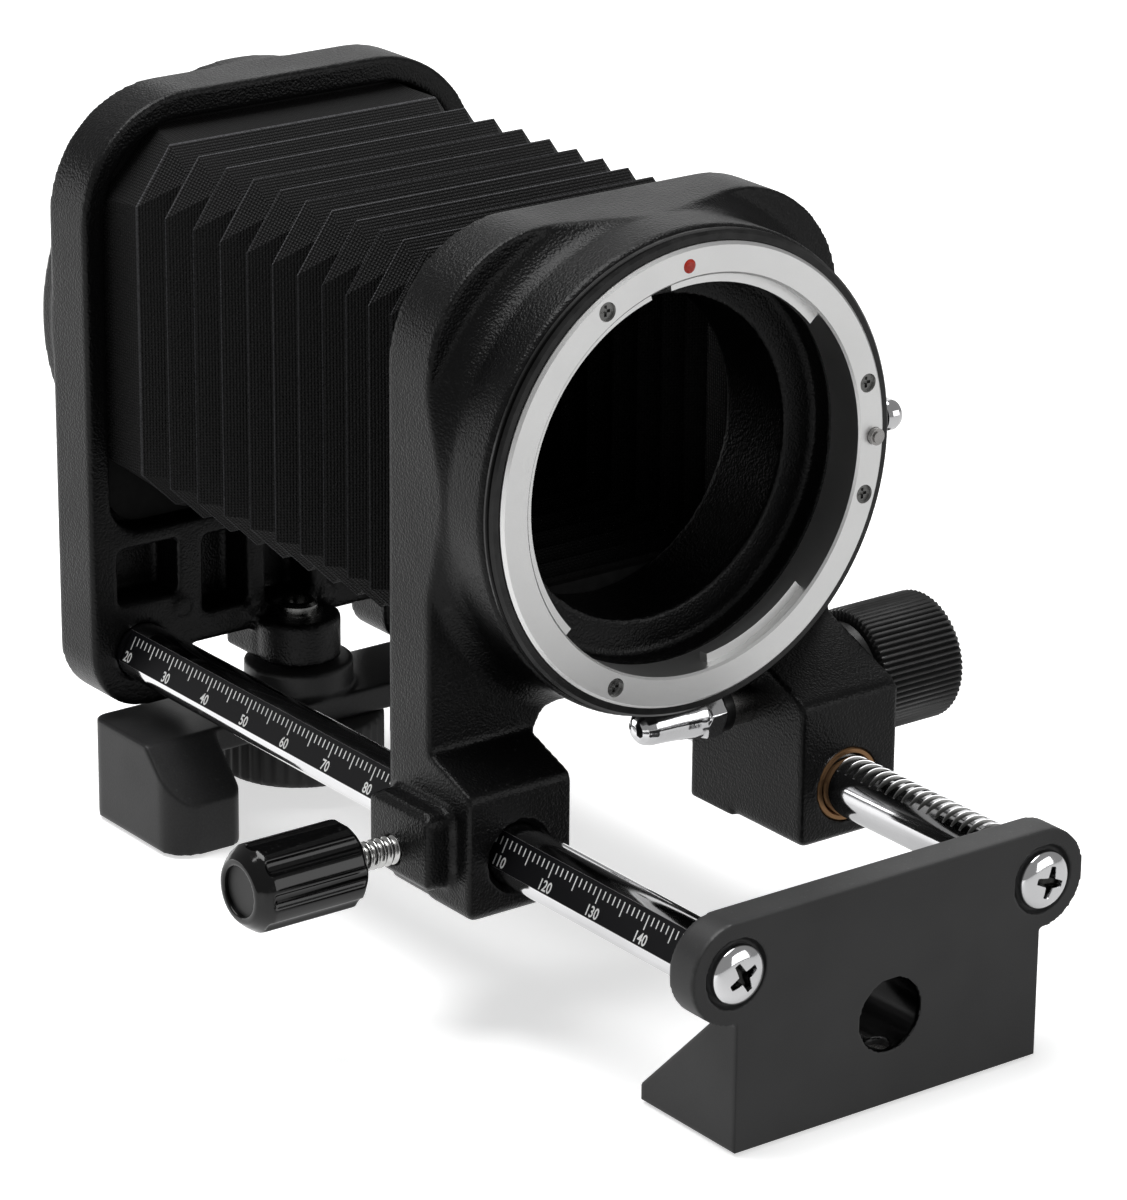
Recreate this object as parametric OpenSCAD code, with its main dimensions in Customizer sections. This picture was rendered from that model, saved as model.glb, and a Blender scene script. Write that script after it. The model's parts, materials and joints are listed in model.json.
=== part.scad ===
// Macro bellows unit: two die-cast standards on a pair of rods, joined by a pleated cloth bellows.
// The rear standard takes the camera and holds both rods. The front standard carries the lens ring
// and runs along the rods, driven by a rack and pinion and held by a clamping screw.
// X is to the right seen from the lens side, the lens looks towards -Y, and Z is up.
// Places along the rods are given as scale values: the millimetre scale cut on the left rod
// counts from the camera side, so a scale value t lies at -t along Y before the model is set down.
// The origin is the middle of the resting face under the front end plate.

/* [Rods] */
// Distance between the axes of the two rods
rod_spacing = 50.3; // [50:0.1:50.8]
// Diameter of both rods
rod_d = 8.4; // [8.2:0.1:8.6]
// Height of the rod axes above the resting plane
rod_height = 24.7; // [24.4:0.1:26]
// Scale value at which the rods end against the front end plate
rod_end = 149.9; // [148:0.1:154]
// Depth of the flat that carries the scale
scale_flat_depth = 0.7; // [0.4:0.05:0.9]
// Upward tilt of that flat from the vertical, in degrees
scale_flat_tilt = 28; // [20:1:35]

/* [Rack and pinion] */
// Distance from one rack tooth to the next
rack_pitch = 1.66; // [1.62:0.01:1.68]
// Teeth on the pinion
pinion_teeth = 23; // [22:1:23]
// Face width of the pinion
pinion_w = 8.8; // [7:0.2:8.8]
// Diameter of the pinion shaft
shaft_d = 3.6; // [3:0.2:4]

/* [Standards] */
// Width of both standards
standard_w = 66.8; // [66.6:0.1:68]
// Height of the optical axis above the rod axes
axis_h = 48.1; // [48:0.1:49]
// Height of the standards above the optical axis
standard_rise = 33.1; // [33:0.1:33.6]
// Scale value of the front face of the rear standard
rear_face = 18.3; // [18:0.1:18.6]
// Thickness of the rear standard
rear_thick = 9.4; // [9:0.1:9.8]
// Scale value of the back face of the front standard
front_back = 91.5; // [90:0.1:93]
// Thickness of the front standard's plate
front_thick = 9.2; // [9:0.1:10]
// Opening kept free for light through both standards
light_d = 44; // [42:0.5:44]

/* [Lens mount] */
// Scale distance from the front standard's plate to the face of the lens ring
lens_stand_off = 12.9; // [12.6:0.1:13.4]
// Inside diameter of the lens ring
throat_d = 54; // [53.8:0.1:54.2]
// Radial width of the lens ring's face
ring_w = 4.25; // [4.1:0.05:4.4]
// Radial width of the round boss outside the lens ring
boss_rim = 1.85; // [1.6:0.05:1.9]
// Height of the bayonet tabs above the throat
tab_h = 1.35; // [1.2:0.05:1.5]
// Distance of the lens ring's screws from the throat
screw_inset = 2.15; // [2:0.05:2.3]
// Diameter of the lens locking pin
lock_pin_d = 2.3; // [2:0.1:2.6]

/* [Bellows] */
// Width of the bellows over its outer folds
bellows_w = 56; // [55:0.2:56.4]
// Height of the bellows over its outer folds
bellows_h = 52.4; // [51.4:0.2:52.8]
// Number of outer folds
pleats = 11; // [9:1:13]
// Depth of one fold
pleat_depth = 5; // [4.4:0.1:5.2]
// Share by which the folds stand wider at the camera end and closer at the lens end
crowding = 0.2; // [0:0.05:0.3]
// Thickness of the cloth wall, measured square to the axis
cloth = 0.7; // [0.5:0.05:0.9]

/* [Front end plate] */
// Thickness of the end plate
plate_thick = 4.9; // [4.6:0.1:6]
// Width of the end plate below its lobes
plate_w = 50; // [49:0.2:50.2]
// Diameter of the accessory hole in the end plate
accessory_d = 10; // [9:0.1:11]
// Depth of the wedge foot behind the end plate
wedge_depth = 14.3; // [13:0.1:16]

/* [Rear foot] */
// Width over both legs of the rear foot
foot_w = 63.8; // [62:0.2:65]
// Width of one leg
leg_w = 11.7; // [9:0.1:12]
// Diameter of the lock wheel under the foot
wheel_d = 25; // [23:0.5:26]
// Diameter of the swivel bolt
bolt_d = 5; // [4:0.2:6]

/* [Knobs] */
// Diameter of the drive knob
drive_knob_d = 18; // [16:0.2:18.4]
// Length of the drive knob
drive_knob_l = 15.2; // [12:0.2:18]
// Diameter of the clamping screw's knob
lock_knob_d = 11.8; // [11:0.2:12]
// Length of the clamping screw's knob
lock_knob_l = 16.8; // [14:0.2:18]
// Diameter of the clamping screw
lock_screw_d = 4; // [3.6:0.2:4.8]

/* [Fits] */
// Radial clearance of everything that slides or turns
run_clear = 0.05; // [0.02:0.01:0.08]
// Gap left between neighbours that pass each other without touching
pass_gap = 0.3; // [0.3:0.05:0.4]

/* [Hidden] */
$fn = 64;
e = 0.01;

// Places shared by several pieces
half_w = standard_w / 2;
rod_x = rod_spacing / 2;
rod_r = rod_d / 2;
block_in = 17;
leg_bottom = -7.8;
front_face = front_back + front_thick;
left_block_face = front_face + 9;
right_block_face = front_face + 14.9;
ring_face = front_face + lens_stand_off;
ring_d = throat_d + 2 * ring_w;
boss_d = ring_d + 2 * boss_rim;
tab_d = throat_d - 2 * tab_h;
ring_screw_pcd = throat_d + 2 * screw_inset;
spigot_r = throat_d / 2 + 1.35;
dot_r = throat_d / 2 + 1.8;
seat_t = ring_face - 2;
rear_back = rear_face - rear_thick;
camera_seat = rear_back - 3.4;
flange_r = throat_d / 2 + 4.9;
sleeve_r = throat_d / 2 - 1.6;
camera_screw_r = throat_d / 2 + 1.6;
rest_t = rod_end + (plate_thick - wedge_depth) / 2;

// Rack and pinion: straight 20 degree flanks on the rack, involute flanks on the pinion
add = 0.53;
ded = 0.67;
pitch_r = pinion_teeth * rack_pitch / (2 * PI);
pinion_z = rod_r - add + pitch_r;
pinion_t = front_face + 1.9;
chamber_r = pitch_r + add + 0.27;
backlash = 0.14;
base_r = pitch_r * cos(20);
function inv(a) = tan(a) * 180 / PI - a;
function flank(r) = (rack_pitch / 2 - backlash) / 2 / pitch_r * 180 / PI + inv(20)
    - inv(acos(min(1, base_r / r)));

// Clamping screw
clamp_t = front_back + 6.5;
pad_x = half_w + 4.1;
clamp_tip = rod_x + rod_r + 0.05;
clamp_knob_x = pad_x + 7;

// Swivel of the rear foot
swivel_t = rear_face + 2.2;
boss_top = 1.2;
boss_bottom = -5.4;
bar_top = -9.7;
bar_bottom = -13.5;
collar_top = boss_bottom - pass_gap;
wheel_top = bar_bottom - pass_gap;
wheel_bottom = wheel_top - 7.9;

// Release pin of the lens ring
pin_r = throat_d / 2 + 2.5;
pin_slot_t = ring_face - 9.6;

// Everything is drawn about the rod axes and set down here
module place() {
    translate([0, rest_t, rod_height]) children();
}

// Extrudes an outline drawn in X and Z from scale value t0 to the larger value t1
module slab(t0, t1) {
    translate([0, -t0, 0]) rotate([90, 0, 0]) linear_extrude(t1 - t0) children();
}

// Extrudes a profile drawn as scale value and height across X from x0 to x1
module across(x0, x1) {
    translate([x0, 0, 0]) rotate([90, 0, 90]) linear_extrude(x1 - x0) scale([-1, 1, 1]) children();
}

// A turned solid about the optical axis; its profile is radius and scale value
module turned(deg = 360, from = 0) {
    translate([0, 0, axis_h]) rotate([90, 0, 0]) rotate([0, 0, from])
        rotate_extrude(angle = deg, $fn = 96) children();
}

// A cylinder along Y between two scale values
module rod(r, x, z, t0, t1) {
    translate([x, -t0, z]) rotate([90, 0, 0]) cylinder(r = r, h = t1 - t0);
}

// A cylinder along X at scale value t and height z
module pivot(r, x0, x1, t, z) {
    translate([x0, -t, z]) rotate([0, 90, 0]) cylinder(r = r, h = x1 - x0);
}

// Removes one sharp corner of an outline, leaving a quarter round of radius r
module round_off(x, z, r, sx, sz) {
    translate([x, z]) scale([sx, sz]) difference() {
        translate([-1, -1]) square(r + 1);
        translate([r, r]) circle(r);
    }
}

// A rectangle whose top and bottom corners have their own radii
module panel(x0, x1, z0, z1, rt, rb) {
    difference() {
        translate([x0, z0]) square([x1 - x0, z1 - z0]);
        round_off(x0, z1, rt, 1, -1);
        round_off(x1, z1, rt, -1, -1);
        round_off(x0, z0, rb, 1, 1);
        round_off(x1, z0, rb, -1, 1);
    }
}

// A cross recess for a screw driver, cut into a head that faces -Y
module cross_recess(s, depth) {
    for (a = [0, 90]) rotate([90, 0, 0]) rotate([0, 0, a])
        translate([-s / 2, -s / 7, -depth]) cube([s, s / 3.5, depth + 1]);
}

// Outline of the rear standard: tall panel, two lobes round the rods and the web between them
module rear_outline() {
    panel(-half_w, half_w, -0.7, axis_h + standard_rise, 17.5, 1.5);
    for (s = [-1, 1]) scale([s, 1]) difference() {
        translate([block_in, -8.4]) square([half_w - block_in, 14]);
        round_off(half_w, -8.4, 9, -1, 1);
        round_off(block_in, -8.4, 4, 1, 1);
    }
}

module rear_standard() {
    color([0.11, 0.11, 0.12]) place() difference() {
        union() {
            slab(rear_back, rear_face) rear_outline();
            // round seat for the camera ring
            turned() polygon([[light_d / 2, camera_seat], [flange_r + 0.7, camera_seat],
                [flange_r + 1.1, camera_seat + 0.4], [flange_r + 1.1, rear_back + 1],
                [light_d / 2, rear_back + 1]]);
            // upright boss that the rear foot turns under
            translate([0, -swivel_t, boss_bottom])
                cylinder(r = 6.2, h = boss_top - boss_bottom);
            slab(rear_back + 1.5, rear_face)
                translate([-6.2, boss_bottom]) square([12.4, -boss_bottom]);
            // ejector marks on the web
            for (p = [[-18.4, 5.3], [-6.5, 1.9], [6.5, 1.9], [18.4, 5.3]])
                rod(1.3, p[0], p[1], rear_face - 1, rear_face + 0.35);
        }
        // recess that takes the end of the bellows
        slab(rear_face - 3.8, rear_face + 1)
            panel(-30, 30, axis_h - 29.8, axis_h + 29.2, 13, 5);
        // opening for light
        turned() square([light_d / 2, rear_face + 5]);
        // pockets in the web
        for (s = [-1, 1]) slab(rear_face - 6, rear_face + 1) scale([s, 1]) {
            panel(19, 29, 7.5, 15.8, 0.6, 0.6);
            panel(7.1, 14.8, 3.6, 15.2, 0.6, 0.6);
        }
        slab(rear_face - 6, rear_face + 1) panel(-4, 4, 2.4, 14, 0.6, 0.6);
        // blind holes for the rods
        for (s = [-1, 1]) rod(rod_r, s * rod_x, 0, rear_back + 1.6, rear_face + 1);
        // hole for the swivel bolt
        translate([0, -swivel_t, boss_bottom - 1]) cylinder(d = bolt_d, h = 20);
        // room for the bolt's head in the web
        translate([0, -swivel_t, boss_top]) cylinder(r = 4, h = 3);
        // tapped holes for the camera ring
        for (a = [45, 135, 225, 315]) rod(1, camera_screw_r * cos(a),
            axis_h + camera_screw_r * sin(a), camera_seat - 1, camera_seat + 4);
    }
}

module scale_rod() {
    color([0.75, 0.76, 0.78]) place() difference() {
        rod(rod_r, -rod_x, 0, rear_back + 1.6, rod_end);
        // flat for the scale, in front of the rear standard
        translate([-rod_x, -rear_face - 0.5, 0]) rotate([0, scale_flat_tilt, 0])
            translate([-rod_r - 1, -rod_end, -rod_r - 1])
            cube([1 + scale_flat_depth, rod_end, rod_d + 2]);
        // tapped end
        rod(2, -rod_x, 0, rod_end - 9, rod_end + 1);
    }
}

// Side view of the toothed rod: scale value and height, one tooth centred on the pinion
rack_first = -floor((pinion_t - rear_face - 2) / rack_pitch);
rack_last = floor((rod_end - 2 - pinion_t) / rack_pitch);
tooth_top = rack_pitch / 4 - add * tan(20);
tooth_root = rack_pitch / 4 + ded * tan(20);
rack_side = concat(
    [[rear_back + 1.6, -rod_r - 1], [rear_back + 1.6, rod_r + 1]],
    [[pinion_t + (rack_first - 0.5) * rack_pitch, rod_r + 1]],
    [for (k = [rack_first:rack_last]) let (c = pinion_t + k * rack_pitch)
        each [[c - tooth_root, rod_r - add - ded], [c - tooth_top, rod_r],
            [c + tooth_top, rod_r], [c + tooth_root, rod_r - add - ded]]],
    [[pinion_t + (rack_last + 0.5) * rack_pitch, rod_r + 1]],
    [[rod_end, rod_r + 1], [rod_end, -rod_r - 1]]);

module rack_rod() {
    color([0.75, 0.76, 0.78]) place() difference() {
        intersection() {
            rod(rod_r, rod_x, 0, rear_back + 1.6, rod_end);
            across(rod_x - rod_r - 1, rod_x + rod_r + 1) polygon(rack_side);
        }
        rod(2, rod_x, 0, rod_end - 9, rod_end + 1);
    }
}

module end_plate() {
    color([0.19, 0.19, 0.2]) place() difference() {
        union() {
            slab(rod_end, rod_end + plate_thick) {
                for (s = [-1, 1]) translate([s * rod_x, 0]) circle(6.9);
                translate([-plate_w / 2, -rod_height]) square([plate_w, rod_height]);
                translate([-rod_x, -e]) square([rod_spacing, 6.9 + e]);
            }
            across(-plate_w / 2, plate_w / 2) polygon([[rod_end + e, -rod_height],
                [rod_end - wedge_depth, -rod_height], [rod_end - wedge_depth, -rod_height + 2.3],
                [rod_end + e, -rod_height + 2.3 + wedge_depth]]);
        }
        for (s = [-1, 1]) {
            rod(2.1, s * rod_x, 0, rod_end - 1, rod_end + plate_thick + 1);
            rod(4.7, s * rod_x, 0, rod_end + plate_thick - 1, rod_end + plate_thick + 1);
        }
        rod(accessory_d / 2, 0, -12.3, rod_end - 20, rod_end + plate_thick + 1);
        // tapped hole for the grub screw that holds an accessory in the hole
        translate([0, -rod_end - plate_thick / 2, -rod_height - 1])
            cylinder(d = 3, h = rod_height - 12.3);
    }
}

module end_plate_screws() {
    head = rod_end + plate_thick - 1;
    color([0.8, 0.81, 0.83]) place() for (s = [-1, 1]) difference() {
        union() {
            rod(2, s * rod_x, 0, rod_end - 7, head + e);
            translate([s * rod_x, 0, 0]) rotate([90, 0, 0]) rotate_extrude()
                polygon([[0, head], [4, head], [4, head + 1.2], [3.75, head + 1.75],
                    [3, head + 2.2], [1.9, head + 2.5], [0, head + 2.6]]);
        }
        translate([s * rod_x, -head - 2.6, 0]) cross_recess(4, 1.6);
    }
}

module accessory_grub_screw() {
    color([0.15, 0.15, 0.16]) place()
        translate([0, -rod_end - plate_thick / 2, -rod_height]) difference() {
        cylinder(d = 3, h = 6.6);
        translate([0, 0, -1]) cylinder(d = 1.7, h = 2.4, $fn = 6);
    }
}

// Bellows: outer folds are eight-sided, inner folds nearly square, so each corner of a fold
// is a flat triangle as on folded cloth
bellows_start = rear_face - 2.4;
bellows_end = front_back - pass_gap;
fold_first = rear_face + 5.2;
fold_last = front_back - 7;
fold_step = (fold_last - fold_first) / (pleats - 1);
function fold_at(k) = let (u = k / (pleats - 1))
    fold_first + (fold_last - fold_first) * (u + crowding * u * (1 - u));
// the lower corners of the folds are cut smaller, so the folds hang above the optical axis
bellows_lift = 1.3;
bw = bellows_w / 2;
bt = bellows_lift + bellows_h / 2;
bb = bellows_lift - bellows_h / 2;
// ring of eight corners: half width, bottom, top, upper cut, lower cut, scale value
function ring8(w, b, h, u, l, t) = [
    [w, -t, b + l[1]], [w, -t, h - u[1]], [w - u[0], -t, h], [u[0] - w, -t, h],
    [-w, -t, h - u[1]], [-w, -t, b + l[1]], [l[0] - w, -t, b], [w - l[0], -t, b]];
function outer_fold(t, g) = ring8(bw - g, bb + g, bt - g, [5.6, 8], [5.4, 5.4], t);
function inner_fold(t, g) = ring8(bw - pleat_depth - g, bb + pleat_depth + g,
    bt - pleat_depth - g, [1, 1.2], [1, 1], t);
// wide end of the cloth that is glued to its frame in the rear standard
function end_skirt(t, g) = ring8(bw + 1.2 - g, bb - 3.7 + g, bt + 0.9 - g, [9, 9], [13, 10], t);
function bellows_rings(g) = concat(
    [end_skirt(bellows_start, g)],
    [for (k = [0:pleats - 1]) each [outer_fold(fold_at(k), g),
        inner_fold(min(fold_at(k + 0.5), bellows_end - 1), g)]],
    [inner_fold(bellows_end, g)]);
bellows_skin = bellows_rings(0);
bellows_lining = bellows_rings(cloth);
rings = len(bellows_skin);
bellows_points = [for (r = concat(bellows_skin, bellows_lining)) each r];
bellows_faces = concat(
    [for (i = [0:rings - 2], j = [0:7]) let (k = (j + 1) % 8)
        each [[i * 8 + j, i * 8 + 8 + j, i * 8 + k], [i * 8 + k, i * 8 + 8 + j, i * 8 + 8 + k]]],
    [for (i = [rings:2 * rings - 2], j = [0:7]) let (k = (j + 1) % 8)
        each [[i * 8 + k, i * 8 + 8 + j, i * 8 + j], [i * 8 + 8 + k, i * 8 + 8 + j, i * 8 + k]]],
    [for (j = [0:7]) let (k = (j + 1) % 8, b = rings * 8)
        each [[j, k, b + j], [k, b + k, b + j]]],
    [for (j = [0:7]) let (k = (j + 1) % 8, a = rings * 8 - 8, b = 2 * rings * 8 - 8)
        each [[a + k, a + j, b + j], [a + k, b + j, b + k]]]);

module bellows_cloth() {
    color([0.1, 0.1, 0.11]) place() translate([0, 0, axis_h])
        polyhedron(points = bellows_points, faces = bellows_faces, convexity = 20);
}

// Frames that press the ends of the cloth against the standards
module bellows_frame(t0, t1, grow = 0) {
    slab(t0, t1) difference() {
        panel(-28.6 - grow, 28.6 + grow, axis_h - 28 - grow, axis_h + 28 + 0.8 * grow,
            11 + 1.6 * grow, 6);
        translate([-bw + pleat_depth - 0.2, axis_h + bb + pleat_depth - 0.2])
            square([bellows_w - 2 * pleat_depth + 0.4, bellows_h - 2 * pleat_depth + 0.4]);
    }
}

module bellows_rear_frame() {
    color([0.09, 0.09, 0.09]) place() bellows_frame(rear_face - 3.8, rear_face - 2.4, 1);
}

module bellows_front_frame() {
    color([0.09, 0.09, 0.09]) place() bellows_frame(front_back - 1.2, front_back);
}

// Male bayonet that the camera body goes on to
module camera_ring() {
    color([0.72, 0.72, 0.73]) place() difference() {
        union() {
            turned() polygon([[light_d / 2, camera_seat], [light_d / 2, camera_seat - 6.6],
                [sleeve_r - 0.3, camera_seat - 6.6], [sleeve_r, camera_seat - 6.3],
                [sleeve_r, camera_seat - 1.6], [flange_r - 0.3, camera_seat - 1.6],
                [flange_r, camera_seat - 1.3], [flange_r, camera_seat]]);
            for (a = [15, 135, 255]) turned(58, a) polygon([[sleeve_r - 0.2, camera_seat - 4.2],
                [sleeve_r + tab_h, camera_seat - 4.2], [sleeve_r + tab_h, camera_seat - 5.8],
                [sleeve_r - 0.2, camera_seat - 5.8]]);
        }
        for (a = [45, 135, 225, 315]) {
            x = camera_screw_r * cos(a);
            z = axis_h + camera_screw_r * sin(a);
            rod(1, x, z, camera_seat - 3, camera_seat + 1);
            rod(1.8, x, z, camera_seat - 3, camera_seat - 0.8);
        }
    }
}

module camera_ring_screws() {
    color([0.7, 0.7, 0.7]) place() for (a = [45, 135, 225, 315]) {
        x = camera_screw_r * cos(a);
        z = axis_h + camera_screw_r * sin(a);
        difference() {
            union() {
                rod(1, x, z, camera_seat - 1, camera_seat + 3.6);
                rod(1.75, x, z, camera_seat - 1.5, camera_seat - 0.8);
            }
            translate([x, 1.5 - camera_seat, z]) rotate([0, 0, 180]) cross_recess(1.7, 0.5);
        }
    }
}

// Bolt that stands in the rear standard's boss, through the foot and into the lock wheel
module swivel_bolt() {
    color([0.75, 0.75, 0.76]) place() translate([0, -swivel_t, 0]) difference() {
        union() {
            translate([0, 0, wheel_bottom + 1]) cylinder(d = bolt_d, h = boss_top - wheel_bottom - 1 + e);
            translate([0, 0, boss_top]) rotate_extrude()
                polygon([[0, 0], [3.6, 0], [3.6, 0.5], [2.9, 0.5], [2.9, 1.5], [2.4, 1.9], [0, 1.9]]);
        }
        translate([0, 0, boss_top + 1]) cylinder(r = 1.7, h = 3);
    }
}

module rear_foot() {
    h0 = -rod_height;
    color([0.16, 0.16, 0.17]) place() difference() {
        intersection() {
            // side view: upright back, bevelled front, and the thin bridge between the legs
            across(-foot_w / 2 - 1, foot_w / 2 + 1) polygon([[rear_face - 4, h0],
                [rear_face + 18.2, h0], [rear_face + 18.2, bar_top - 7.5],
                [rear_face + 10.7, bar_top], [rear_face + 10.7, bar_top + 10],
                [rear_face - 4, bar_top + 10]]);
            union() {
                // plan view: legs with rounded upright corners
                for (s = [-1, 1]) translate([0, 0, h0]) linear_extrude(rod_height + bar_top)
                    scale([s, -1]) difference() {
                    translate([foot_w / 2 - leg_w, rear_face - 4]) square([leg_w, 22.2]);
                    round_off(foot_w / 2, rear_face + 18.2, 4.5, -1, -1);
                    round_off(foot_w / 2 - leg_w, rear_face + 18.2, 2, 1, -1);
                    round_off(foot_w / 2, rear_face - 4, 2.5, -1, 1);
                }
                translate([leg_w / 2 - foot_w / 2, -rear_face - 10.7, bar_bottom])
                    cube([foot_w - leg_w, 14.7, bar_top - bar_bottom]);
                translate([0, -swivel_t, bar_bottom]) cylinder(r = 8, h = collar_top - bar_bottom);
            }
        }
        translate([0, -swivel_t, h0]) cylinder(d = bolt_d + 2 * run_clear, h = rod_height);
    }
}

module foot_lock_wheel() {
    n = 40;
    color([0.09, 0.09, 0.1]) place() translate([0, -swivel_t, wheel_bottom]) difference() {
        rotate_extrude($fn = 96) polygon([[bolt_d / 2 + run_clear, 0], [wheel_d / 2 - 0.6, 0],
            [wheel_d / 2, 0.6], [wheel_d / 2, 7.3], [wheel_d / 2 - 0.6, 7.9],
            [bolt_d / 2 + run_clear, 7.9]]);
        for (k = [1:n]) rotate([0, 0, k * 360 / n]) translate([wheel_d / 2 + 0.25, 0, -1])
            cylinder(r = 0.7, h = 10, $fn = 16);
    }
}

// Outline of the front standard's plate with its two legs
module front_outline() {
    difference() {
        panel(-half_w, half_w, leg_bottom, axis_h + standard_rise, 18, 2.5);
        panel(-block_in, block_in, leg_bottom - 10, 18, 8, 1);
    }
    translate([0, axis_h]) circle(d = boss_d);
}

module front_standard() {
    t1 = front_face - 0.5;
    color([0.11, 0.11, 0.12]) place() difference() {
        union() {
            slab(front_back, front_face) front_outline();
            // round boss with a flared foot
            turned() polygon([[20, front_back + 1], [boss_d / 2, front_back + 1],
                [boss_d / 2, seat_t - 0.5], [boss_d / 2 - 0.5, seat_t], [20, seat_t]]);
            intersection() {
                turned() polygon([[20, t1], [boss_d / 2 + 3.6, t1], [boss_d / 2 + 2, front_face + 0.5],
                    [boss_d / 2 + 0.6, front_face + 2], [boss_d / 2, front_face + 3.6], [20, front_face + 3.6]]);
                slab(t1, front_face + 4) front_outline();
            }
            // left block round the scale rod
            intersection() {
                slab(front_back, left_block_face) panel(-half_w, -block_in, leg_bottom, 24, 1.4, 2);
                across(-half_w, -block_in) polygon([[t1, leg_bottom], [left_block_face - 1, leg_bottom],
                    [left_block_face, leg_bottom + 1], [left_block_face, 9.1],
                    [left_block_face - 0.3, 9.8], [left_block_face - 1, 10.2], [t1, 13.3]]);
            }
            // right block round the rack rod and the pinion
            intersection() {
                slab(front_back, right_block_face) panel(block_in, half_w, leg_bottom, 24, 1.4, 2);
                across(block_in, half_w) polygon([[t1, leg_bottom], [right_block_face - 1, leg_bottom],
                    [right_block_face, leg_bottom + 1], [right_block_face, 12.2],
                    [right_block_face - 0.3, 12.9], [right_block_face - 1, 13.4], [t1, 19.1]]);
            }
            // pad that carries the clamping screw
            intersection() {
                across(-pad_x, -half_w + 1) difference() {
                    translate([front_back + 1.5, -3.8]) square([13.2, 10.8]);
                    round_off(front_back + 1.5, -3.8, 1.8, 1, 1);
                    round_off(front_back + 14.7, -3.8, 1.8, -1, 1);
                    round_off(front_back + 1.5, 7, 1.8, 1, -1);
                    round_off(front_back + 14.7, 7, 1.8, -1, -1);
                }
                slab(front_back, front_back + 20) polygon([[-half_w + 1, -3.8], [-pad_x + 1, -3.8],
                    [-pad_x, -2.8], [-pad_x, 6], [-pad_x + 1, 7], [-half_w + 1, 7]]);
            }
        }
        // bore for the seat ring, then a shelf with the opening for light
        turned() polygon([[0, seat_t - 7.6], [throat_d / 2, seat_t - 7.6],
            [throat_d / 2, seat_t - 4], [spigot_r + run_clear, seat_t - 4],
            [spigot_r + run_clear, seat_t + 1], [0, seat_t + 1]]);
        turned() square([light_d / 2, seat_t]);
        // running bores for the rods
        rod(rod_r + run_clear, -rod_x, 0, front_back - 1, left_block_face + 1);
        rod(rod_r + 0.9, -rod_x, 0, left_block_face - 1.2, left_block_face + 1);
        rod(rod_r + 0.4, rod_x, 0, front_back - 1, right_block_face + 1);
        rod(rod_r + 1, rod_x, 0, front_back - 1, front_back + 5.5);
        rod(rod_r + 1, rod_x, 0, right_block_face - 5.7, right_block_face + 1);
        // chamber for the pinion, open to the rack below
        pivot(chamber_r, rod_x - pinion_w / 2 - 0.2, half_w + 1, pinion_t, pinion_z);
        pivot(shaft_d / 2 + run_clear, block_in - 1, half_w, pinion_t, pinion_z);
        pivot(2.2, block_in - 1, block_in + 1.5, pinion_t, pinion_z);
        // tapped hole for the clamping screw
        pivot(lock_screw_d / 2 + run_clear, -pad_x - 1, -rod_x, clamp_t, 0);
        // slot, guide hole and spring pocket for the lens lock pin
        translate([pin_r - 1.3, -pin_slot_t - 5.6, axis_h - 2.2]) cube([10, 5.6, 4.4]);
        rod(lock_pin_d / 2 + run_clear, pin_r, axis_h, pin_slot_t, seat_t + 1);
        rod(1.7, pin_r, axis_h, pin_slot_t - 6, pin_slot_t + 2.1);
        // tapped holes for the lens ring screws
        for (a = [121, 15, -15.7, -116.4]) rod(1, ring_screw_pcd / 2 * cos(a),
            axis_h + ring_screw_pcd / 2 * sin(a), seat_t - 4, seat_t + 1);
    }
}

module rod_bushes() {
    color([0.72, 0.55, 0.3]) place() for (t = [front_back + 0.1, right_block_face - 5.5])
        translate([rod_x, -t, 0]) rotate([90, 0, 0]) rotate_extrude()
        polygon([[rod_r + run_clear, 0], [rod_r + 1, 0], [rod_r + 1, 5.2],
            [rod_r + 0.8, 5.4], [rod_r + 0.3, 5.4], [rod_r + run_clear, 5.1]]);
}

module shaft_collar() {
    color([0.78, 0.79, 0.8]) place() difference() {
        union() {
            pivot(2.2, block_in - 1, block_in + 1.5, pinion_t, pinion_z);
            pivot(2.9, block_in - 3.4, block_in, pinion_t, pinion_z);
        }
        pivot(shaft_d / 2 + run_clear, block_in - 4, block_in + 3, pinion_t, pinion_z);
    }
}

module pinion_cover() {
    color([0.1, 0.1, 0.1]) place() difference() {
        pivot(chamber_r, rod_x + rod_r + 0.35, half_w, pinion_t, pinion_z);
        pivot(shaft_d / 2 + run_clear, rod_x, half_w + 1, pinion_t, pinion_z);
    }
}

// Black ring that closes the boss round the lens ring
module seat_ring() {
    color([0.07, 0.07, 0.07]) place() difference() {
        turned() polygon([[ring_d / 2 + 0.1, seat_t], [boss_d / 2 - 0.4, seat_t],
            [boss_d / 2 - 0.4, seat_t + 0.35], [boss_d / 2 - 0.9, seat_t + 0.55],
            [boss_d / 2 - 0.9, seat_t + 0.8], [boss_d / 2 - 0.5, seat_t + 1],
            [boss_d / 2 - 0.9, seat_t + 1.4], [ring_d / 2 + 0.1, seat_t + 1.4]]);
    }
}

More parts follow.
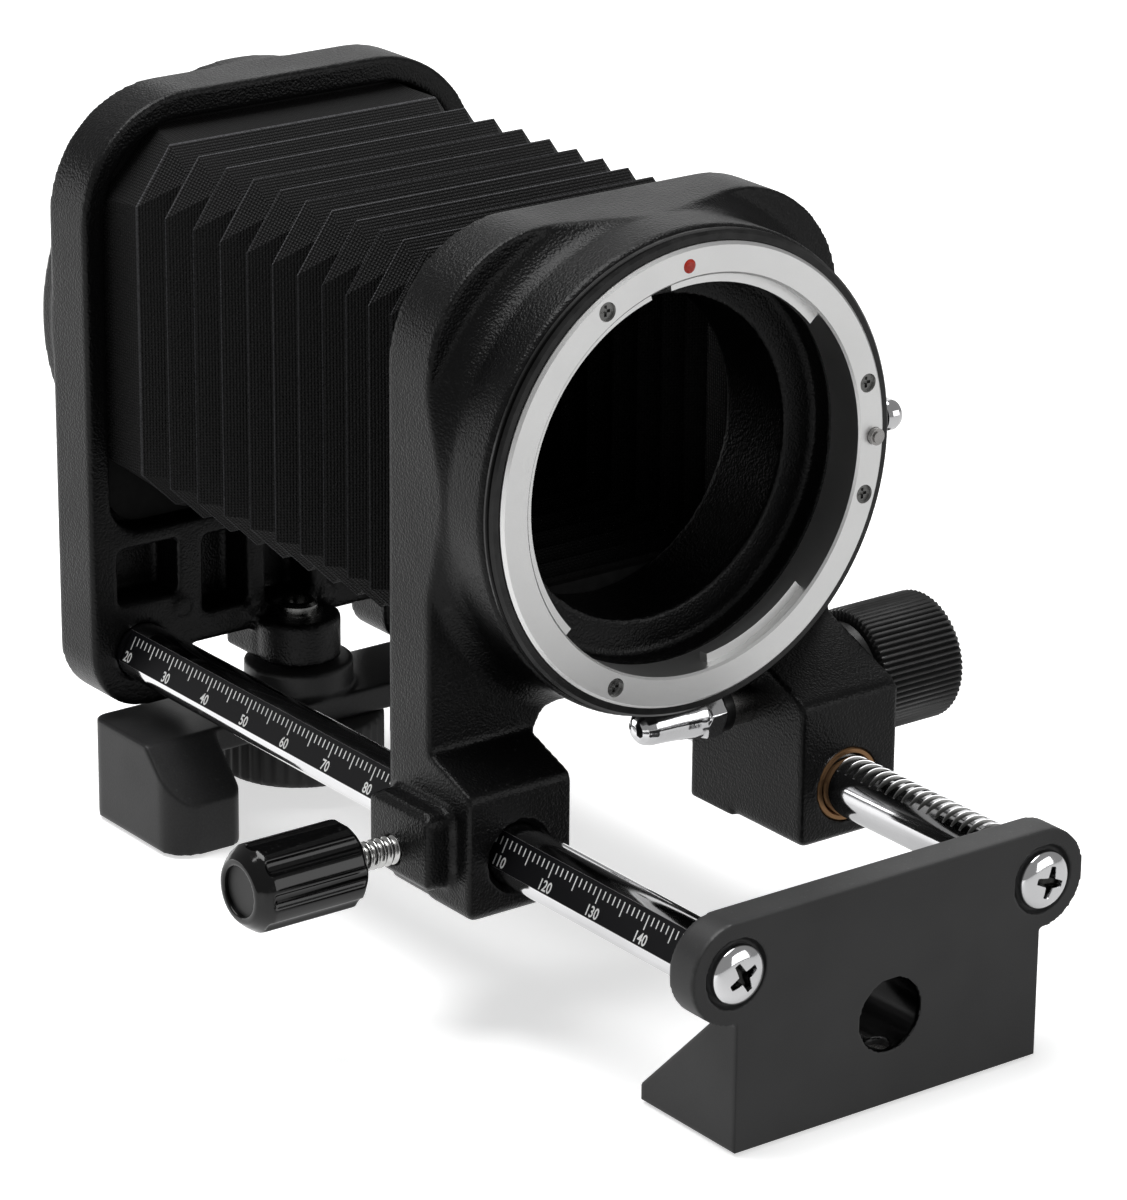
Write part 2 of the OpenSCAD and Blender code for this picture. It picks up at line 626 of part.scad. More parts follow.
module lens_ring() {
    t2 = ring_face - 1.5;
    color([0.82, 0.82, 0.83]) place() difference() {
        union() {
            turned() polygon([[throat_d / 2, seat_t - 3.9], [spigot_r, seat_t - 3.9], [spigot_r, seat_t],
                [ring_d / 2, seat_t], [ring_d / 2, ring_face - 0.4], [ring_d / 2 - 0.4, ring_face],
                [throat_d / 2 + 0.3, ring_face], [throat_d / 2, ring_face - 0.3]]);
            // three bayonet tabs
            for (s = [[105.4, 116.3], [41.3, 57], [-83, 37.1]]) turned(s[1], s[0])
                polygon([[tab_d / 2, t2], [throat_d / 2 + 0.3, t2], [throat_d / 2 + 0.3, t2 - 1.6],
                    [tab_d / 2 + 0.3, t2 - 1.6], [tab_d / 2, t2 - 1.3]]);
        }
        for (a = [121, 15, -15.7, -116.4]) {
            rod(1, ring_screw_pcd / 2 * cos(a), axis_h + ring_screw_pcd / 2 * sin(a),
                seat_t - 5, ring_face + 1);
            rod(1.3, ring_screw_pcd / 2 * cos(a), axis_h + ring_screw_pcd / 2 * sin(a),
                ring_face - 1.1, ring_face + 1);
        }
        rod(lock_pin_d / 2 + run_clear, pin_r, axis_h, seat_t - 5, ring_face + 1);
        rod(0.95, dot_r * cos(94), axis_h + dot_r * sin(94), ring_face - 0.8, ring_face + 1);
    }
}

module lens_ring_screws() {
    color([0.7, 0.7, 0.72]) place() for (a = [121, 15, -15.7, -116.4]) {
        x = ring_screw_pcd / 2 * cos(a);
        z = axis_h + ring_screw_pcd / 2 * sin(a);
        difference() {
            union() {
                rod(1, x, z, seat_t - 3.6, ring_face - 1.1 + e);
                rod(1.28, x, z, ring_face - 1.1, ring_face - 0.45);
            }
            translate([x, -ring_face + 0.45, z]) cross_recess(1.5, 0.35);
        }
    }
}

module index_dot() {
    color([0.75, 0.08, 0.05]) place() translate([dot_r * cos(94), -ring_face + 0.8, axis_h + dot_r * sin(94)])
        rotate([90, 0, 0]) rotate_extrude(convexity = 2)
        polygon([[0, 0], [0.95, 0], [0.95, 0.8], [0.6, 1], [0, 1.08]]);
}

module lens_lock_pin() {
    t0 = pin_slot_t + 2.2;
    color([0.8, 0.79, 0.77]) place() difference() {
        union() {
            rod(lock_pin_d / 2, pin_r, axis_h, t0, ring_face + 0.75);
            rod(lock_pin_d / 2 - 0.35, pin_r, axis_h, ring_face + 0.7, ring_face + 1);
            translate([pin_r - 0.8, -t0 - 3, axis_h - 1.9]) cube([boss_d / 2 - pin_r + 1.3, 3, 3.8]);
        }
        pivot(0.9, boss_d / 2 - 2.5, boss_d / 2 + 3, t0 + 1.5, axis_h);
    }
}

module release_knob() {
    t0 = pin_slot_t + 3.7;
    color([0.82, 0.83, 0.85]) place() translate([0, -t0, axis_h]) rotate([0, 90, 0]) rotate_extrude()
        polygon([[0, boss_d / 2 - 2.5], [0.9, boss_d / 2 - 2.5], [0.9, boss_d / 2 + 0.5],
            [1.4, boss_d / 2 + 0.5], [1.4, boss_d / 2 + 1.9], [2, boss_d / 2 + 2.3],
            [2.2, boss_d / 2 + 2.9], [2.2, boss_d / 2 + 3.9], [1.8, boss_d / 2 + 4.7],
            [1, boss_d / 2 + 5.1], [0, boss_d / 2 + 5.2]]);
}

// Small coil that presses the lock pin forwards
module lock_pin_spring() {
    coils = 5;
    steps = 12;
    t0 = pin_slot_t - 5.8;
    len = 7.8;
    pts = [for (i = [0:coils * steps]) let (a = i * 360 / steps, h = 0.25 + (len - 0.5) * i / (coils * steps))
        each [for (b = [0:5]) [(1.15 + 0.22 * cos(b * 60)) * cos(a), (1.15 + 0.22 * cos(b * 60)) * sin(a),
            h + 0.22 * sin(b * 60)]]];
    n = coils * steps + 1;
    faces = concat([[5, 4, 3, 2, 1, 0]], [[for (b = [0:5]) (n - 1) * 6 + b]],
        [for (i = [0:n - 2], b = [0:5]) let (c = (b + 1) % 6)
            each [[i * 6 + b, i * 6 + c, i * 6 + 6 + b], [i * 6 + c, i * 6 + 6 + c, i * 6 + 6 + b]]]);
    color([0.6, 0.6, 0.62]) place() translate([pin_r, -t0, axis_h]) rotate([90, 0, 0])
        polyhedron(points = pts, faces = faces, convexity = 10);
}

module clamp_screw() {
    color([0.8, 0.8, 0.82]) place()
        pivot(lock_screw_d / 2, -clamp_knob_x - 8, -clamp_tip, clamp_t, 0);
}

module clamp_knob() {
    n = 8;
    r = lock_knob_d / 2;
    color([0.05, 0.05, 0.06]) place() translate([-clamp_knob_x, -clamp_t, 0]) rotate([0, -90, 0]) difference() {
        rotate_extrude() polygon([[0, 0], [r - 0.9, 0], [r, 0.9], [r, lock_knob_l - 2],
            [r - 0.9, lock_knob_l - 0.8], [r - 1.7, lock_knob_l], [r - 2.5, lock_knob_l],
            [r - 2.5, lock_knob_l - 1.2], [0, lock_knob_l - 1.2]]);
        for (k = [1:n]) rotate([0, 0, k * 360 / n]) translate([r + 0.95, 0, -1])
            cylinder(r = 1.6, h = lock_knob_l - 0.8, $fn = 24);
        translate([0, 0, -1]) cylinder(d = lock_screw_d, h = 9);
    }
}

module clamp_knob_cap() {
    r = lock_knob_d / 2 - 2.5;
    color([0.2, 0.2, 0.21]) place() translate([-clamp_knob_x - lock_knob_l + 1.2, -clamp_t, 0])
        rotate([0, -90, 0]) cylinder(r = r, h = 0.5);
}

module drive_shaft() {
    color([0.75, 0.76, 0.78]) place()
        pivot(shaft_d / 2, block_in - 12, half_w + 10, pinion_t, pinion_z);
}

// Pinion with a tooth gap pointing straight down at the rack
module drive_pinion() {
    tip = pitch_r + add - 0.02;
    root = pitch_r - ded + 0.05;
    half = [for (i = [0:5]) let (r = base_r + (tip - base_r) * i / 5) [r, flank(r)]];
    outline = [for (k = [0:pinion_teeth - 1]) let (c = -90 + (k + 0.5) * 360 / pinion_teeth)
        each concat([[root * cos(c - flank(base_r)), root * sin(c - flank(base_r))]],
            [for (p = half) [p[0] * cos(c - p[1]), p[0] * sin(c - p[1])]],
            [for (i = [5:-1:0]) [half[i][0] * cos(c + half[i][1]), half[i][0] * sin(c + half[i][1])]],
            [[root * cos(c + flank(base_r)), root * sin(c + flank(base_r))]])];
    color([0.72, 0.6, 0.35]) place()
        translate([rod_x - pinion_w / 2, -pinion_t, pinion_z]) rotate([90, 0, 90])
        linear_extrude(pinion_w) difference() {
        polygon(outline);
        circle(d = shaft_d);
    }
}

module drive_knob() {
    n = 60;
    r = drive_knob_d / 2;
    color([0.08, 0.08, 0.09]) place()
        translate([half_w + pass_gap, -pinion_t, pinion_z]) rotate([0, 90, 0]) difference() {
        rotate_extrude($fn = 96) polygon([[shaft_d / 2, 0], [r - 1.2, 0], [r - 1, 1.2], [r, 1.8],
            [r, drive_knob_l - 1.6], [r - 0.5, drive_knob_l - 0.5], [r - 1.6, drive_knob_l],
            [0, drive_knob_l], [0, 10 - pass_gap], [shaft_d / 2, 10 - pass_gap]]);
        for (k = [1:n]) rotate([0, 0, k * 360 / n]) translate([r + 0.12, 0, 1.5])
            cylinder(r = 0.34, h = drive_knob_l - 2.6, $fn = 13);
    }
}

module drive_washer() {
    color([0.12, 0.12, 0.12]) place() difference() {
        pivot(3.3, block_in - 5.2, block_in - 3.4 - pass_gap, pinion_t, pinion_z);
        pivot(shaft_d / 2, block_in - 6, block_in, pinion_t, pinion_z);
    }
}

// Cap nut with a long domed end on the inner end of the shaft
module drive_cap_nut() {
    color([0.82, 0.83, 0.85]) place() difference() {
        union() {
            translate([block_in - 8, -pinion_t, pinion_z]) rotate([0, 90, 0])
                rotate([0, 0, 20]) cylinder(r = 3.75, h = 2.8, $fn = 6);
            translate([block_in - 8, -pinion_t, pinion_z]) rotate([0, -90, 0]) rotate_extrude()
                polygon([[0, -e], [3.25, -e], [3.15, 1.2], [2.85, 3.4], [2.65, 6], [2.55, 8.2],
                    [2.2, 9.4], [1.5, 10.1], [0.7, 10.4], [0, 10.45]]);
        }
        pivot(shaft_d / 2, block_in - 12, block_in, pinion_t, pinion_z);
    }
}

rear_standard();
scale_rod();
rack_rod();
end_plate();
end_plate_screws();
accessory_grub_screw();
bellows_cloth();
bellows_rear_frame();
camera_ring();
camera_ring_screws();
swivel_bolt();
rear_foot();
foot_lock_wheel();
front_standard();
rod_bushes();
bellows_front_frame();
seat_ring();
lens_ring();
lens_ring_screws();
index_dot();
lens_lock_pin();
release_knob();
lock_pin_spring();
clamp_screw();
clamp_knob();
clamp_knob_cap();
drive_shaft();
drive_pinion();
drive_knob();
drive_cap_nut();
drive_washer();
shaft_collar();
pinion_cover();
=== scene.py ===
"""Studio scene of a macro bellows unit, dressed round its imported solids.

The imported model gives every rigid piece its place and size. Castings and knobs are rounded off
as die-cast and moulded pieces are, the bellows is folded anew from thin cloth, and the fine work
is added: graduations on the scale rod, a cut thread, a knurl, and the finish of each surface.
"""

import json
import logging
import math
from dataclasses import dataclass, field
from enum import Enum
from typing import Callable, Iterable, Sequence

import bmesh
import bpy
from mathutils import Matrix, Vector
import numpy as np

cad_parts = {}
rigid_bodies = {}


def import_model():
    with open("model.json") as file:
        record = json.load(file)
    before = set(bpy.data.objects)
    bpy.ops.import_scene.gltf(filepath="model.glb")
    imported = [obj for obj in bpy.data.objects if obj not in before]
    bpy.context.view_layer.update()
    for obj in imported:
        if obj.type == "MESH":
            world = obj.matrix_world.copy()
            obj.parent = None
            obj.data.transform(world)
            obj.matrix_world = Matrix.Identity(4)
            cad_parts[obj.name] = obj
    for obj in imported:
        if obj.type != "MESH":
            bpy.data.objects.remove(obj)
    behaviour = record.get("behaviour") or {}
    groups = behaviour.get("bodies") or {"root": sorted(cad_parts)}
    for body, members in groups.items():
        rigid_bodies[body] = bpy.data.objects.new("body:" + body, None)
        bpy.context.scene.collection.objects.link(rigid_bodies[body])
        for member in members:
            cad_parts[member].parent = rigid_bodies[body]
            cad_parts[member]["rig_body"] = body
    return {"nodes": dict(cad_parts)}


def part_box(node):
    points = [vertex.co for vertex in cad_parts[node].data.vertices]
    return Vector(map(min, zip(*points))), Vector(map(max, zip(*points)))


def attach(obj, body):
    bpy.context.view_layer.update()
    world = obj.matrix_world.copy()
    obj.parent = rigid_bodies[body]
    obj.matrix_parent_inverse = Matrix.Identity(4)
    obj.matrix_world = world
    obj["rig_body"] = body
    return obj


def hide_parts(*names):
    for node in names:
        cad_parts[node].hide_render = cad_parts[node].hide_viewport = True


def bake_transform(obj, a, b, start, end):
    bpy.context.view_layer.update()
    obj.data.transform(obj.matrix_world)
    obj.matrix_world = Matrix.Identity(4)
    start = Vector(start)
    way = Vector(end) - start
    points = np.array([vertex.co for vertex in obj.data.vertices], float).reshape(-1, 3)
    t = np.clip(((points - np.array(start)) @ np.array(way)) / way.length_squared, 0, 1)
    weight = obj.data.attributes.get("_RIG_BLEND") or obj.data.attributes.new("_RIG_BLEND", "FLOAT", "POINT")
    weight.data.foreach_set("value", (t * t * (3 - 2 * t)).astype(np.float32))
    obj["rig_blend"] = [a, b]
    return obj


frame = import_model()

logging.basicConfig(level=logging.INFO, format="%(levelname)s %(message)s")
LOG = logging.getLogger("macro_bellows")

MM = 0.001
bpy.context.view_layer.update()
Colour = tuple[float, float, float, float]
Point = tuple[float, float, float]
Mesh = bpy.types.Mesh
Node = bpy.types.Node
Object = bpy.types.Object
Socket = bpy.types.NodeSocket
Tree = bpy.types.NodeTree


class Body(Enum):
    """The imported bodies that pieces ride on."""

    BASE = "base"
    CARRIAGE = "carriage"
    DRIVE = "drive"
    CLAMP = "clamp"
    LENS_LOCK = "lens_lock"
    FOOT = "foot"
    FOOT_WHEEL = "foot_wheel"


@dataclass(frozen=True)
class Rods:
    """Where the pair of rods lies, and how scale values count along them.

    A scale value is a distance in millimetres from the zero of the scale, at the camera side.

    Attributes:
        end_y: Y of the rods' front ends, in metres.
        height: Height of the rod axes, in metres.
        end_value: Scale value of the front ends.
        spacing: Distance of the two axes in millimetres.
        optical: Height of the optical axis above the rod axes in millimetres.
    """

    end_y: float
    height: float
    end_value: float = 149.9
    spacing: float = 50.3
    optical: float = 48.1

    @classmethod
    def measured(cls) -> "Rods":
        """The rods as they are packed."""
        low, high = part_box("end_plate_screws")
        return cls(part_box("rack_rod")[0].y, (low.z + high.z) / 2)

    def at(self, x: float, value: float, z: float) -> Point:
        """A point in the scene's metres.

        Args:
            x: Millimetres to the right of the optical axis.
            value: Scale value in millimetres.
            z: Millimetres above the rod axes.

        Returns:
            The point in the row frame.
        """
        return (x * MM, self.end_y + (self.end_value - value) * MM, self.height + z * MM)


RODS = Rods.measured()


# ---------------------------------------------------------------- drawing node trees


class Sheet:
    """A node tree that is being drawn, with short calls for adding and joining nodes."""

    def __init__(self, tree: Tree) -> None:
        """Starts on an existing tree."""
        self.tree = tree

    def feed(self, target: Socket, value: object) -> None:
        """Links a socket to an input, or sets the input's own value.

        Args:
            target: The input.
            value: The socket or the value.
        """
        if isinstance(value, Socket):
            self.tree.links.new(value, target)
        else:
            target.default_value = value

    def add(self, kind: str, inputs: dict | None = None, **settings: object) -> Node:
        """Adds one node.

        Args:
            kind: Blender's name for the node type.
            inputs: Values or sockets for its inputs, by name or index.
            settings: Attributes of the node itself.

        Returns:
            The new node.
        """
        made = self.tree.nodes.new(kind)
        for name, value in settings.items():
            setattr(made, name, value)
        for name, value in (inputs or {}).items():
            self.feed(made.inputs[name], value)
        return made

    def math(self, how: str, *values: object) -> Socket:
        """The result of one sum on values or sockets."""
        return self.add("ShaderNodeMath", dict(enumerate(values)), operation=how).outputs[0]

    def times(self, a: object, b: object) -> Socket:
        """The product of two values or sockets."""
        return self.math("MULTIPLY", a, b)

    def vector(self, how: str, *values: object) -> Socket:
        """The result of one vector sum: a vector, or a value for lengths and dot products."""
        made = self.add("ShaderNodeVectorMath", dict(enumerate(values)), operation=how)
        return made.outputs["Value" if how in ("LENGTH", "DOT_PRODUCT") else "Vector"]

    def noise(self, place: Socket, scale: object, detail: float = 2.0, roughness: float = 0.5) -> Socket:
        """Noise from 0 to 1 at a place."""
        return self.add("ShaderNodeTexNoise", {"Vector": place, "Scale": scale, "Detail": detail,
                                               "Roughness": roughness}).outputs["Fac"]

    def span(self, value: Socket, low: object, high: object, to: tuple[float, float] = (0.0, 1.0),
             smooth: bool = False) -> Socket:
        """Maps a value to another range, clamped.

        Args:
            value: The value.
            low: The value at the start of the range.
            high: The value at its end.
            to: The range.
            smooth: Whether it eases in and out.

        Returns:
            The mapped value.
        """
        made = self.add("ShaderNodeMapRange", {"Value": value, "From Min": low, "From Max": high,
                                               "To Min": to[0], "To Max": to[1]},
                        interpolation_type="SMOOTHSTEP" if smooth else "LINEAR")
        return made.outputs["Result"]

    def level(self, share: Socket, a: object, b: object) -> Socket:
        """Value a turned into value b by share."""
        return self.add("ShaderNodeMix", {0: share, 2: a, 3: b}).outputs[0]

    def blend(self, share: Socket, a: object, b: object) -> Socket:
        """Colour a turned into colour b by share."""
        return self.add("ShaderNodeMix", {0: share, 6: a, 7: b}, data_type="RGBA").outputs[2]

    def group(self, tree: Tree, **inputs: object) -> bpy.types.NodeOutputs:
        """Places a shared group with its own values, and gives its results."""
        return self.add("ShaderNodeGroup", inputs, node_tree=tree).outputs

    @property
    def place(self) -> Socket:
        """Object coordinates."""
        return self.add("ShaderNodeTexCoord").outputs["Object"]


class Effect(Sheet):
    """A shared node group that is being drawn."""

    def __init__(self, name: str, results: Sequence[str], **values: float | None) -> None:
        """Starts a group.

        Args:
            name: Name of the group.
            results: Names of its outputs.
            values: Each input's default value, or None for a vector.
        """
        super().__init__(bpy.data.node_groups.new(name, "ShaderNodeTree"))
        for label, value in values.items():
            kind = "NodeSocketVector" if value is None else "NodeSocketFloat"
            socket = self.tree.interface.new_socket(label, in_out="INPUT", socket_type=kind)
            if value is not None:
                socket.default_value = value
        for label in results:
            self.tree.interface.new_socket(label, in_out="OUTPUT", socket_type="NodeSocketFloat")
        self.given = self.add("NodeGroupInput").outputs

    def ends(self, **results: Socket) -> Tree:
        """Joins the results to the group's outputs."""
        self.add("NodeGroupOutput", results)
        return self.tree


class Surface(Sheet):
    """A material's node tree, drawn round its Principled BSDF."""

    def __init__(self, name: str) -> None:
        """Makes the material.

        Args:
            name: Its name.
        """
        self.material = bpy.data.materials.new(name)
        self.material.use_nodes = True
        super().__init__(self.material.node_tree)
        self.inputs = self.tree.nodes["Principled BSDF"].inputs

    def put(self, **values: object) -> None:
        """Feeds the shader's inputs, with low lines for the spaces in their names."""
        for name, value in values.items():
            self.feed(self.inputs[name.replace("_", " ")], value)

    def fed(self, name: str) -> Socket:
        """The socket that feeds an input so far."""
        return self.inputs[name].links[0].from_socket

    def relief(self, height: Socket, depth: float) -> None:
        """Feeds a height through a bump to the shader's normal, depth in millimetres."""
        self.put(Normal=self.add("ShaderNodeBump", {"Height": height, "Distance": depth * MM}).outputs[0])


class Effects:
    """Surface effects that several finishes share, each a node group built once."""

    def __init__(self) -> None:
        """Draws every group."""
        self.grain = self._grain()
        self.edge_wear = self._edge_wear()
        self.brushing = self._brushing()
        self.weave = self._weave()
        self.dust = self._dust()

    def _grain(self) -> Tree:
        """Round-topped grain of crinkle paint or blasted metal, from a place and a scale.

        Returns:
            The group.
        """
        s = Effect("fine_grain", ("Height", "Mask"), Vector=None, Scale=2500.0, Crackle=0.5)
        place, scale = s.given["Vector"], s.given["Scale"]
        soft = s.noise(place, scale, detail=3.0, roughness=0.55)
        cells = s.add("ShaderNodeTexVoronoi", {"Vector": place, "Scale": scale, "Smoothness": 0.6},
                      feature="SMOOTH_F1").outputs["Distance"]
        domes = s.times(s.math("SUBTRACT", 1.0, cells), s.given["Crackle"])
        return s.ends(Height=s.times(s.math("ADD", domes, soft), 0.6), Mask=s.span(soft, 0.35, 0.65))

    def _edge_wear(self) -> Tree:
        """Mask of raised edges, broken up by noise: scuffed paint and a painted highlight where edges catch
        light.

        Returns:
            The group.
        """
        s = Effect("edge_wear", ("Mask",), Vector=None, Low=0.52, High=0.6, Scale=400.0)
        raised = s.add("ShaderNodeNewGeometry").outputs["Pointiness"]
        edge = s.span(raised, s.given["Low"], s.given["High"])
        spots = s.noise(s.given["Vector"], s.given["Scale"], detail=4.0)
        return s.ends(Mask=s.times(edge, s.span(spots, 0.35, 0.7)))

    def _brushing(self) -> Tree:
        """Fine streaks along the direction that the stretch leaves short.

        Returns:
            The group.
        """
        s = Effect("brushing", ("Height", "Mask"), Vector=None, Stretch=None, Scale=900.0)
        run = s.vector("MULTIPLY", s.given["Vector"], s.given["Stretch"])
        streak = s.noise(run, s.given["Scale"], detail=5.0, roughness=0.65)
        return s.ends(Height=streak, Mask=s.span(streak, 0.3, 0.7))

    def _weave(self) -> Tree:
        """Plain weave from a UV map in millimetres: threads that pass over and under.

        Returns:
            The group.
        """
        s = Effect("weave", ("Height", "Mask"), Vector=None, Pitch=0.4)
        flat = s.given["Vector"]
        parts = s.add("ShaderNodeSeparateXYZ", {0: flat}).outputs
        turn = s.math("DIVIDE", math.pi, s.given["Pitch"])
        wobble = s.times(s.noise(flat, 0.9), 0.15)
        warp, weft = (s.math("SINE", s.times(s.math("ADD", parts[k], wobble), turn)) for k in (0, 1))
        ridges = s.times(s.math("ABSOLUTE", warp), s.math("ABSOLUTE", weft))
        height = s.math("ADD", s.times(s.times(warp, weft), 0.3), ridges)
        return s.ends(Height=height, Mask=s.span(height, 0.1, 1.0))

    def _dust(self) -> Tree:
        """Thin specks that settle on faces turned upwards.

        Returns:
            The group.
        """
        s = Effect("dust", ("Mask",), Vector=None, Scale=1200.0, Amount=0.5)
        normal = s.add("ShaderNodeNewGeometry").outputs["Normal"]
        up = s.add("ShaderNodeSeparateXYZ", {0: normal}).outputs["Z"]
        specks = s.noise(s.given["Vector"], s.given["Scale"], detail=6.0, roughness=0.7)
        settled = s.times(s.span(up, 0.2, 1.0), s.span(specks, 0.6, 0.75))
        return s.ends(Mask=s.times(settled, s.given["Amount"]))


EFFECTS = Effects()


# ---------------------------------------------------------------- finishes


def rgb(red: float, green: float, blue: float) -> Colour:
    """An opaque colour."""
    return (red, green, blue, 1.0)


def grey(level: float) -> Colour:
    """An opaque grey."""
    return rgb(level, level, level)


def shade(colour: Colour, share: float) -> Colour:
    """A colour made darker or lighter by a share."""
    return rgb(*(c * share for c in colour[:3]))


@dataclass(frozen=True)
class Finish:
    """What every finish has: a name, a colour and how rough it is."""

    name: str
    colour: Colour
    roughness: float

    def material(self) -> bpy.types.Material:
        """Draws the material the first time it is asked for.

        Returns:
            The Blender material.
        """
        known = bpy.data.materials.get(self.name)
        if known is not None:
            return known
        surface = Surface(self.name)
        self.draw(surface)
        return surface.material

    def draw(self, s: Surface) -> None:
        """Joins the finish's nodes to its shader.

        Args:
            s: The material's sheet.
        """
        raise NotImplementedError


@dataclass(frozen=True)
class Coating(Finish):
    """Paint, anodising or moulded plastic: a dark, dull surface with a grain.

    Attributes:
        grain: Size of one grain in millimetres.
        depth: Depth of the grain in millimetres.
        crackle: Share of round domes in the grain.
        worn: Colour on raised edges: scuffed paint, and a painted highlight where edges catch light.
        wear: Share of that edge colour that shows.
        gloss: Specular level.
        coat: Weight of a clear coat.
        dust: Share of the settled dust that shows.
        deep: How dark the colour drifts.
        pale: How pale it is on the grain's tops.
        topped: Share of that paleness that shows.
        drift: Patches of drifting colour in a metre.
        uneven: How far the roughness drifts down and up.
        dusty: Colour of the dust.
    """

    grain: float = 0.4
    depth: float = 0.03
    crackle: float = 0.5
    worn: Colour = grey(0.09)
    wear: float = 0.3
    gloss: float = 0.4
    coat: float = 0.0
    dust: float = 0.2
    deep: float = 0.72
    pale: float = 1.5
    topped: float = 0.35
    drift: float = 60.0
    uneven: tuple[float, float] = (-0.05, 0.07)
    dusty: Colour = grey(0.25)

    def draw(self, s: Surface) -> None:
        """Grain in relief, colour broken by grain, pale edges for scuffed paint and a painted highlight, and
        dust.

        Args:
            s: The material's sheet.
        """
        place = s.place
        grain = s.group(EFFECTS.grain, Vector=place, Scale=1.0 / (self.grain * MM), Crackle=self.crackle)
        wear = s.group(EFFECTS.edge_wear, Vector=place, Low=0.53, High=0.66, Scale=500.0)
        dust = s.group(EFFECTS.dust, Vector=place, Scale=1500.0, Amount=self.dust)
        drift = s.noise(place, self.drift, detail=3.0)
        base = s.blend(s.span(drift, 0.35, 0.65), self.colour, shade(self.colour, self.deep))
        base = s.blend(s.times(grain["Mask"], self.topped), base, shade(self.colour, self.pale))
        # raised edges paler: scuffed paint and a painted highlight where edges catch light
        base = s.blend(s.times(wear["Mask"], self.wear), base, self.worn)
        reach = tuple(self.roughness + change for change in self.uneven)
        rough = s.span(drift, 0.3, 0.7, reach)
        s.put(Base_Color=s.blend(dust["Mask"], base, self.dusty), Roughness=rough,
              Specular_IOR_Level=self.gloss, Coat_Weight=self.coat, Coat_Roughness=0.12)
        s.relief(grain["Height"], self.depth)


@dataclass(frozen=True)
class Metal(Finish):
    """Bare or plated metal with streaks or a blasted grain.

    Attributes:
        stretch: How the streaks' pattern is squeezed along each axis.
        streak: Size of one streak across, in millimetres.
        depth: Depth of the streaks in millimetres.
        spread: How far the roughness varies.
        stain: Share by which the colour darkens in patches.
        patches: Such patches in a metre.
        smoothest: Lowest roughness that the variation may reach.
    """

    stretch: Point = (1.0, 1.0, 1.0)
    streak: float = 0.25
    depth: float = 0.004
    spread: float = 0.06
    stain: float = 0.12
    patches: float = 90.0
    smoothest: float = 0.02

    def draw(self, s: Surface) -> None:
        """Streaks in relief and in the roughness, with a slight uneven tone.

        Args:
            s: The material's sheet.
        """
        place = s.place
        streak = s.group(EFFECTS.brushing, Vector=place, Stretch=self.stretch, Scale=1.0 / (self.streak * MM))
        drift = s.noise(place, self.patches, detail=4.0)
        dark = shade(self.colour, 1 - self.stain)
        tone = s.blend(s.span(drift, 0.35, 0.7), self.colour, dark)
        reach = (max(self.smoothest, self.roughness - self.spread), self.roughness + self.spread)
        s.put(Base_Color=s.blend(s.times(streak["Mask"], 0.3), tone, dark),
              Roughness=s.span(streak["Mask"], 0.0, 1.0, reach), Metallic=1.0)
        s.relief(streak["Height"], self.depth)


@dataclass(frozen=True)
class RodPlate(Metal):
    """Chrome of a rod that has another surface where it is cut.

    Attributes:
        side: 1 for the right rod and -1 for the left one.
        cut: Colour of the cut surface.
        cut_roughness: Its roughness.
        edge: Depths below the round or the flat, in millimetres, at which its own finish begins
            and from which on it is whole.
    """

    side: int = 1
    cut: Colour = rgb(0.2, 0.2, 0.195)
    cut_roughness: float = 0.34
    edge: tuple[float, float] = (0.06, 0.03)

    def aside(self, s: Surface) -> Socket:
        """Where the place lies from the rod's axis, in metres."""
        middle = RODS.at(self.side * RODS.spacing / 2, 0.0, 0.0)
        return s.vector("SUBTRACT", s.place, (middle[0], 0.0, middle[2]))

    def within(self, surface: float) -> list[float]:
        """Where the finish of the round or the flat begins and is whole.

        Args:
            surface: Distance of the round or the flat from the rod's axis, in millimetres.

        Returns:
            Two distances from the axis, in metres.
        """
        return [(surface - depth) * MM for depth in self.edge]

    def plated(self, s: Surface) -> Socket:
        """Share of chrome at a place."""
        raise NotImplementedError

    def draw(self, s: Surface) -> None:
        """Chrome on the rod's own surface, and the other surface where it is cut.

        Args:
            s: The material's sheet.
        """
        super().draw(s)
        plated = self.plated(s)
        s.put(Base_Color=s.blend(plated, self.cut, s.fed("Base Color")),
              Roughness=s.level(plated, self.cut_roughness, s.fed("Roughness")))


@dataclass(frozen=True)
class RackRodPlate(RodPlate):
    """Chrome of the rack rod, with bare cut metal between and beside the tops of its teeth.

    Attributes:
        radius: Radius of the rod in millimetres.
    """

    radius: float = 4.2
    edge: tuple[float, float] = (0.14, 0.06)

    def plated(self, s: Surface) -> Socket:
        """Chrome on the round of the rod, found by the distance from the axis."""
        reach = s.vector("LENGTH", s.vector("MULTIPLY", self.aside(s), (1.0, 0.0, 1.0)))
        return s.span(reach, *self.within(self.radius))


@dataclass(frozen=True)
class ScaleRodPlate(RodPlate):
    """Chrome of the scale rod, with black filling on the flat that carries the scale.

    Attributes:
        tilt: Upward tilt of the flat in degrees.
        flat: Distance of the flat from the rod's axis in millimetres.
    """

    tilt: float = 28.0
    flat: float = 3.5

    def plated(self, s: Surface) -> Socket:
        """Chrome everywhere but on the flat, which is found by its distance from the axis.

        Args:
            s: The material's sheet.

        Returns:
            1 on chrome and 0 on the flat.
        """
        tilt = math.radians(self.tilt)
        reach = s.vector("DOT_PRODUCT", self.aside(s), (-math.cos(tilt), 0.0, math.sin(tilt)))
        return s.span(reach, *self.within(self.flat), (1.0, 0.0))

    def draw(self, s: Surface) -> None:
        """The filling is no metal and shines little."""
        super().draw(s)
        s.put(Metallic=self.plated(s), Specular_IOR_Level=0.1)


